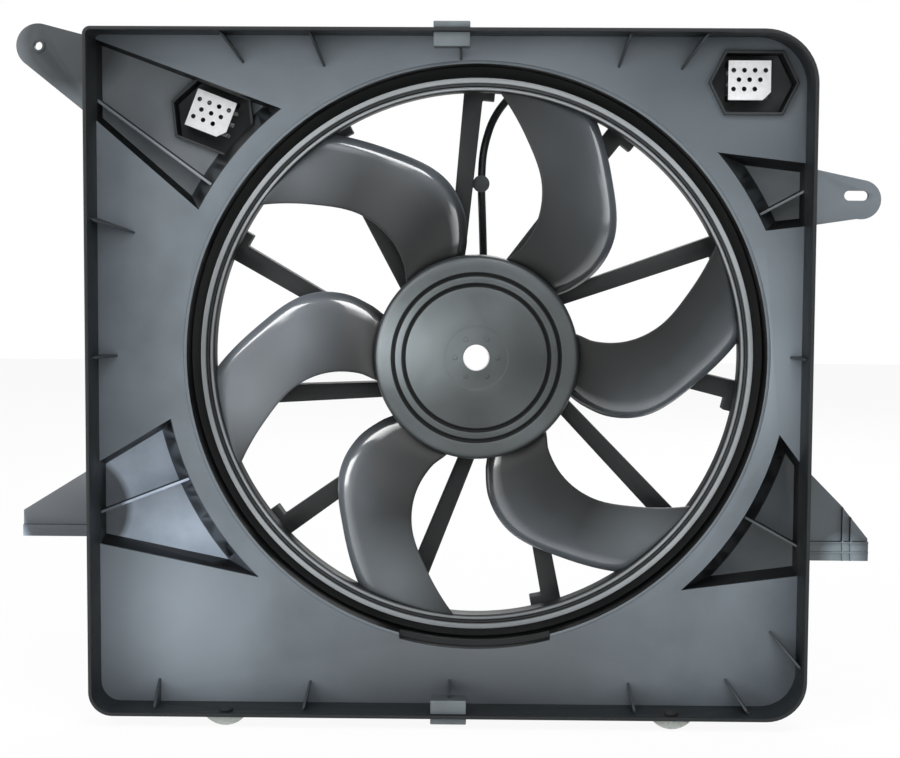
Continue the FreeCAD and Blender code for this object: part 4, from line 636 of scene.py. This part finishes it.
# %% Soften the visible nodes
EDGES = [
    ("shroud_rim", 0.7), ("shroud_plate", 0.5), ("wall_gussets", 0.5),
    ("channel_mount_upper_left", 0.6), ("channel_mount_upper_right", 0.6),
    ("channel_mount_lower_left", 0.6), ("channel_mount_lower_right", 0.45),
    ("tunnel", 0.5), ("struts", 0.8), ("motor_ring", 0.6), ("resistor_frame_left", 0.4),
    ("resistor_frame_right", 0.4), ("top_clip", 0.7), ("bottom_clip", 0.7),
    ("lead_connector", 0.7), ("connector_bracket", 0.5), ("lead_clip", 0.6),
    ("resistor_guard_left", 0.15), ("resistor_guard_right", 0.15), ("lower_pad_left", 0.9),
    ("lower_pad_right", 0.9), ("motor_can", 0.7), ("motor_end_cap", 0.6), ("motor_flange", 0.3),
    ("motor_screws", 0.25), ("lead_grommet", 0.4),
]
for name, width in EDGES:
    piece = soften(name, width)
    print("%-34s %6d faces" % (piece.name, len(piece.data.polygons)))

# %% [markdown]
# ## Gauze behind the vents
# The floor of each resistor's frame has three vents. A fine black gauze closes them as painted
# shade, so that they show dark and not white. A grid with a Wireframe modifier weaves it: each edge
# of the grid becomes a wire, and the squares between them stay open.

# %% Wire gauze in the resistors' vents
GAUZE_SIZE = (33 * MM, 22 * MM)
GAUZE_SQUARES = (56, 38)
GAUZE_SHIFT = -2 * MM
GAUZE_DEEP = 1 * MM
GAUZE_WIRE = 0.42 * MM
RESISTOR_TURNS = {"left": 21, "right": 0}
# Painted shade: the gauze is near-black.
gauze_shade_finish = clouded("blackened_wire_gauze", "#0b0c0c", "#141515", 0.6, 0.0, 2.0, 0.05)
for side, turn in RESISTOR_TURNS.items():
    low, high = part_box("resistor_frame_" + side)
    spot = Vector(((low.x + high.x) / 2, high.y - GAUZE_DEEP, (low.z + high.z) / 2))
    bpy.ops.object.select_all(action="DESELECT")
    bpy.ops.mesh.primitive_grid_add(x_subdivisions=GAUZE_SQUARES[0], y_subdivisions=GAUZE_SQUARES[1],
                                    size=1, rotation=(math.pi / 2, 0, 0))
    gauze = bpy.context.object
    gauze.name = "vent_gauze_" + side
    gauze.scale = (*GAUZE_SIZE, 1)
    bpy.ops.object.transform_apply(location=True, rotation=True, scale=True)
    weave = gauze.modifiers.new("weave", "WIREFRAME")
    weave.thickness = GAUZE_WIRE
    weave.use_boundary = True
    finish_with_modifiers(gauze)
    gauze.data.transform(Matrix.Translation(spot) @ Matrix.Rotation(math.radians(turn), 4, "Y")
                         @ Matrix.Translation((GAUZE_SHIFT, 0, 0)))
    attach(gauze, "shroud", gauze_shade_finish)
    print("%s: %d faces" % (gauze.name, len(gauze.data.polygons)))

# %% [markdown]
# ## Turning on the lathe
# Hub and band are round about the fan's axis. Such a form could be cut from cylinders, but a
# single outline that is spun once round the axis gives every groove and rounding in one go. The
# outline is drawn by extruding one vertex from point to point, as by hand.

# %% Spin an outline about the fan's axis
WELD = 0.002 * MM


def spin_outline(name, outline, steps, smooth):
    """Draw a closed outline of (radius, depth) points in mm and spin it round the axis."""
    bpy.ops.object.select_all(action="DESELECT")
    first = Vector((outline[0][0] * MM, outline[0][1] * MM, 0))
    bpy.ops.mesh.primitive_plane_add(size=MM, location=first)
    piece = bpy.context.object
    piece.name = name
    bpy.ops.object.transform_apply(location=True, rotation=True, scale=True)
    bpy.ops.object.mode_set(mode="EDIT")
    bpy.ops.mesh.select_all(action="SELECT")
    bpy.ops.mesh.merge(type="CENTER")
    for (radius, depth), (next_radius, next_depth) in zip(outline, outline[1:] + outline[:1]):
        bpy.ops.mesh.extrude_vertices_move(TRANSFORM_OT_translate={
            "value": ((next_radius - radius) * MM, (next_depth - depth) * MM, 0)})
    bpy.ops.mesh.select_all(action="SELECT")
    bpy.ops.mesh.remove_doubles(threshold=WELD)
    bpy.ops.mesh.select_all(action="SELECT")
    bpy.ops.mesh.spin(steps=steps, angle=2 * math.pi, center=(0, 0, 0), axis=(0, 1, 0), dupli=False)
    bpy.ops.mesh.select_all(action="SELECT")
    bpy.ops.mesh.remove_doubles(threshold=WELD)
    bpy.ops.mesh.normals_make_consistent(inside=False)
    bpy.ops.object.mode_set(mode="OBJECT")
    bpy.ops.object.shade_smooth_by_angle(angle=math.radians(smooth))
    return piece


def round_corner(corner, start, end, steps):
    """Points of a rounding from start to end, drawn towards the corner between them."""
    spots = []
    for k in range(steps + 1):
        t = k / steps
        spots.append(tuple((1 - t) ** 2 * a + 2 * t * (1 - t) * c + t ** 2 * b
                           for a, c, b in zip(start, corner, end)))
    return spots


def copy_round(piece, count, way):
    """Copies of a piece round the fan's axis, one way or the other, the piece itself first."""
    pieces = [piece]
    stem = piece.name.rsplit("_", 1)[0]
    for number in range(1, count):
        bpy.ops.object.select_all(action="DESELECT")
        piece.select_set(True)
        bpy.context.view_layer.objects.active = piece
        bpy.ops.object.duplicate()
        copy = bpy.context.object
        copy.name = "%s_%d" % (stem, number + 1)
        copy.data.transform(Matrix.Rotation(way * 2 * math.pi * number / count, 4, "Y"))
        pieces.append(copy)
    return pieces


print("points closer than %.3f mm are welded" % (WELD / MM))

# %% [markdown]
# ## The hub
# The hub is a shallow cup with a generously rounded shoulder. Its face is slightly domed, two
# sharp grooves run round it and a shallow dish sits in the middle. Behind the dish a boss holds the
# steel insert. The grooves are deep and narrow, and their colour is painted black as shade.

# %% Fan hub
HUB_FRONT, HUB_REAR = (corner.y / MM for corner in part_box("fan_hub"))
HUB_WALL = 3.0
SHOULDER = 7.5
GROOVE_DEEP = 3.0
DISH_RADIUS = 24.0
DISH_DEEP = 0.9
PLUG_RADIUS = 10.0
DOME = 0.9
BOSS_RADIUS, BOSS_REAR = 16, 43
BORE_RADIUS, BORE_FRONT = 9, 36


def face_depth(radius):
    """Depth of the domed face at a radius, in mm."""
    return HUB_FRONT + DOME * (radius / GROOVES[0]) ** 2 if radius < GROOVES[0] else HUB_FRONT + 0.2


def groove(radius):
    """A V-shaped groove with soft lips, from inside out."""
    lip = face_depth(radius)
    steps = [(-2.4, -0.1), (-1.7, 0.2), (-1.2, GROOVE_DEEP * 0.8), (0, GROOVE_DEEP),
             (1.2, GROOVE_DEEP * 0.8), (1.7, 0.2), (2.4, -0.1)]
    return [(radius + out, lip + deep) for out, deep in steps]


hub_outline = [(PLUG_RADIUS, HUB_FRONT + DISH_DEEP), (DISH_RADIUS - 0.8, HUB_FRONT + DISH_DEEP),
               (DISH_RADIUS, HUB_FRONT + DISH_DEEP * 0.6), (DISH_RADIUS + 0.8, face_depth(DISH_RADIUS))]
hub_outline += [(radius, face_depth(radius)) for radius in (32, 40, 47)]
hub_outline += groove(GROOVES[0]) + [(GROOVES[0] + 4, HUB_FRONT)] + groove(GROOVES[1])
hub_outline += round_corner((HUB_RADIUS, HUB_FRONT), (HUB_RADIUS - SHOULDER, HUB_FRONT),
                            (HUB_RADIUS, HUB_FRONT + SHOULDER), 8)
hub_outline += [(HUB_RADIUS, HUB_REAR - 0.6), (HUB_RADIUS - 0.6, HUB_REAR),
                (HUB_RADIUS - HUB_WALL, HUB_REAR), (HUB_RADIUS - HUB_WALL, HUB_FRONT + SHOULDER),
                (HUB_RADIUS - SHOULDER, HUB_FRONT + 2 * HUB_WALL),
                (BOSS_RADIUS, HUB_FRONT + 2 * HUB_WALL), (BOSS_RADIUS, BOSS_REAR),
                (BORE_RADIUS, BOSS_REAR), (BORE_RADIUS, BORE_FRONT), (PLUG_RADIUS, BORE_FRONT)]
hub = spin_outline("hub_turned", hub_outline, steps=160, smooth=50)
print("hub: radius %.1f mm, %d faces" % (HUB_RADIUS, len(hub.data.polygons)))

# %% [markdown]
# ## Mould marks
# Round the plug the hub's dish carries six small round marks, where pins pushed the part out of
# its mould. One low disc is made with a soft edge and copied round the axis.

# %% Mould marks in the dish
MARK_RADIUS = 1.7
MARK_CIRCLE = 16.0
MARK_COUNT = 6
bpy.ops.object.select_all(action="DESELECT")
bpy.ops.mesh.primitive_cylinder_add(vertices=24, radius=MARK_RADIUS * MM, depth=1.0 * MM,
                                    location=(MARK_CIRCLE * MM, (HUB_FRONT + DISH_DEEP) * MM, 0),
                                    rotation=(math.pi / 2, 0, 0))
mark = bpy.context.object
mark.name = "mould_mark_1"
bpy.ops.object.transform_apply(location=True, rotation=True, scale=True)
edge = mark.modifiers.new("soft_edge", "BEVEL")
edge.width = 0.35 * MM
edge.segments = 3
finish_with_modifiers(mark)
bpy.ops.object.shade_smooth_by_angle(angle=math.radians(50))
marks = copy_round(mark, MARK_COUNT, 1)
print("mould marks:", len(marks))

# %% [markdown]
# ## The band and its lip
# The band ties the blade tips together. In front it flares to a flat lip, with a narrow groove and
# a round bead inside it, which show as a light, a dark and a light ring. Its inner wall runs straight
# back and is painted black as shade, and its lip pale grey as painted sheen.

# %% Fan band
band_low, band_high = (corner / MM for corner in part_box("fan_band"))
LIP_RADIUS = band_high.x
BAND_FRONT, BAND_REAR = band_low.y, band_high.y
BAND_INNER = 200.5
BAND_WALL = 2.5
RING_FLOOR = 47.6
band_outline = [
    (BAND_INNER, BAND_REAR), (BAND_INNER, 52.0), (BAND_INNER, 46.8), (BAND_INNER + 0.5, 45.2),
    (BAND_INNER + 1.6, BAND_FRONT + 1.2), (BAND_INNER + 2.6, BAND_FRONT + 1.2),
    (BAND_INNER + 3.4, BAND_FRONT + 1.7), (BAND_INNER + 3.9, RING_FLOOR - 1.0),
    (BAND_INNER + 4.9, RING_FLOOR), (BAND_INNER + 5.9, RING_FLOOR - 1.0),
    (BAND_INNER + 6.3, BAND_FRONT + 0.7), (BAND_INNER + 6.9, BAND_FRONT + 0.1),
    (BAND_INNER + 7.5, BAND_FRONT), (LIP_RADIUS - 0.8, BAND_FRONT), (LIP_RADIUS - 0.2, BAND_FRONT + 0.3),
    (LIP_RADIUS, BAND_FRONT + 0.9), (LIP_RADIUS, BAND_FRONT + 2.5), (LIP_RADIUS - 2.6, BAND_FRONT + 5.4),
    (BAND_INNER + BAND_WALL + 1.0, BAND_FRONT + 7.0), (BAND_INNER + BAND_WALL, 53.0),
    (BAND_INNER + BAND_WALL, BAND_REAR)]
band = spin_outline("band_turned", band_outline, steps=200, smooth=32)
print("band: lip radius %.1f mm" % LIP_RADIUS)

# %% [markdown]
# ## The blades
# Each blade sweeps from the hub to the band and leans back from its front edge to its rear edge,
# which is rolled over. That roll catches a softbox as a long bright stripe. A flat grid is the
# start: its rows are set to the blade's stations from hub to tip, its columns to the way from the
# front to the rear edge. Solidify then gives it a wall, and a bevel rounds the wall's edge.

# %% The blade's surface
# Each station: share of the span, angle of the front edge and of the rear one in degrees, rise in mm.
BLADE_STATIONS = [
    (0.00, 13.6, -22.6, 27.8), (0.10, 8.2, -24.6, 27.5), (0.28, 6.3, -24.4, 25.8),
    (0.50, 9.5, -19.0, 22.5), (0.75, 17.5, -7.0, 18.2), (1.00, 25.3, 3.4, 14.6),
]
BLADE_REAR = HUB_REAR - 0.5
BLADE_WALL = 2.4
ROLL_SHARE = 0.14
ROLL_DROP = 4.6
ROOT_SINK = 0.4


def along_span(share, column):
    """A station's value at any share of the span, on a smooth curve through the stations."""
    table = BLADE_STATIONS
    k = max(1, min(len(table) - 1, sum(1 for row in table if row[0] < share)))
    low, high = table[k - 1], table[k]
    before, after = table[max(k - 2, 0)], table[min(k + 1, len(table) - 1)]
    t = (share - low[0]) / (high[0] - low[0])
    slope_low = (high[column] - before[column]) / (high[0] - before[0]) * (high[0] - low[0])
    slope_high = (after[column] - low[column]) / (after[0] - low[0]) * (high[0] - low[0])
    return ((2 * t ** 3 - 3 * t ** 2 + 1) * low[column] + (t ** 3 - 2 * t ** 2 + t) * slope_low
            + (3 * t ** 2 - 2 * t ** 3) * high[column] + (t ** 3 - t ** 2) * slope_high)


def blade_point(share, way):
    """A point of the blade's middle surface: share of the span, way from front to rear edge."""
    root = HUB_RADIUS - ROOT_SINK
    radius = root + share * (BAND_INNER + ROOT_SINK - root)
    lead, trail, rise = (along_span(share, column) for column in (1, 2, 3))
    angle = math.radians(lead + (trail - lead) * way)
    bend = 0.8 * way + 0.2 * way ** 2
    roll = max(0.0, (way - 1) / ROLL_SHARE + 1) ** 2 * ROLL_DROP
    depth = BLADE_REAR - ROLL_DROP - (rise - ROLL_DROP) * (1 - bend) + roll
    return Vector((radius * math.cos(angle), depth, radius * math.sin(angle))) * MM


print("blade tip's middle at", [round(value / MM, 1) for value in blade_point(1.0, 0.5)])

# %% One blade
ROWS, COLUMNS = 36, 34
COLUMN_CROWDING = 1.35
bpy.ops.object.select_all(action="DESELECT")
bpy.ops.mesh.primitive_grid_add(x_subdivisions=COLUMNS, y_subdivisions=ROWS, size=1)
blade = bpy.context.object
blade.name = "blade_1"
for vertex in blade.data.vertices:
    way = 1 - (0.5 - vertex.co.x) ** COLUMN_CROWDING
    vertex.co = blade_point(vertex.co.y + 0.5, way)
wall = blade.modifiers.new("wall", "SOLIDIFY")
wall.thickness = BLADE_WALL * MM
wall.offset = 0
rim = blade.modifiers.new("round_rim", "BEVEL")
rim.width = 0.9 * MM
rim.segments = 3
rim.limit_method = "ANGLE"
rim.angle_limit = math.radians(55)
finish_with_modifiers(blade)
bpy.ops.object.mode_set(mode="EDIT")
bpy.ops.mesh.select_all(action="SELECT")
bpy.ops.mesh.normals_make_consistent(inside=False)
bpy.ops.object.mode_set(mode="OBJECT")
bpy.ops.object.shade_smooth_by_angle(angle=math.radians(60))
print("blade: %d faces" % len(blade.data.polygons))

# %% [markdown]
# ## The whole fan
# All blades come from one tool, so one is modelled and copied round the axis. Hub, band, blades and
# marks are one moulding on the real fan. They all ride on the rotor and turn together.

# %% Six blades about the axis
BLADE_COUNT = 6
blades = copy_round(blade, BLADE_COUNT, -1)
hub_finish, blade_finish = nodes["fan_hub"].data.materials[0], nodes["fan_blades"].data.materials[0]
attach(hub, "rotor", hub_finish, ["fan_hub"])
attach(band, "rotor", nodes["fan_band"].data.materials[0], ["fan_band"])
for piece in marks:
    attach(piece, "rotor", hub_finish)
attach(blades[0], "rotor", blade_finish, ["fan_blades"])
for piece in blades[1:]:
    attach(piece, "rotor", blade_finish)
print("blades:", len(blades))

# %% [markdown]
# ## The last look
# Finishes and rounded edges mustn't change the object's size. Its box before them is printed at the
# start, and its box after them is measured here.

# %% Measure the box after the finishes
low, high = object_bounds()
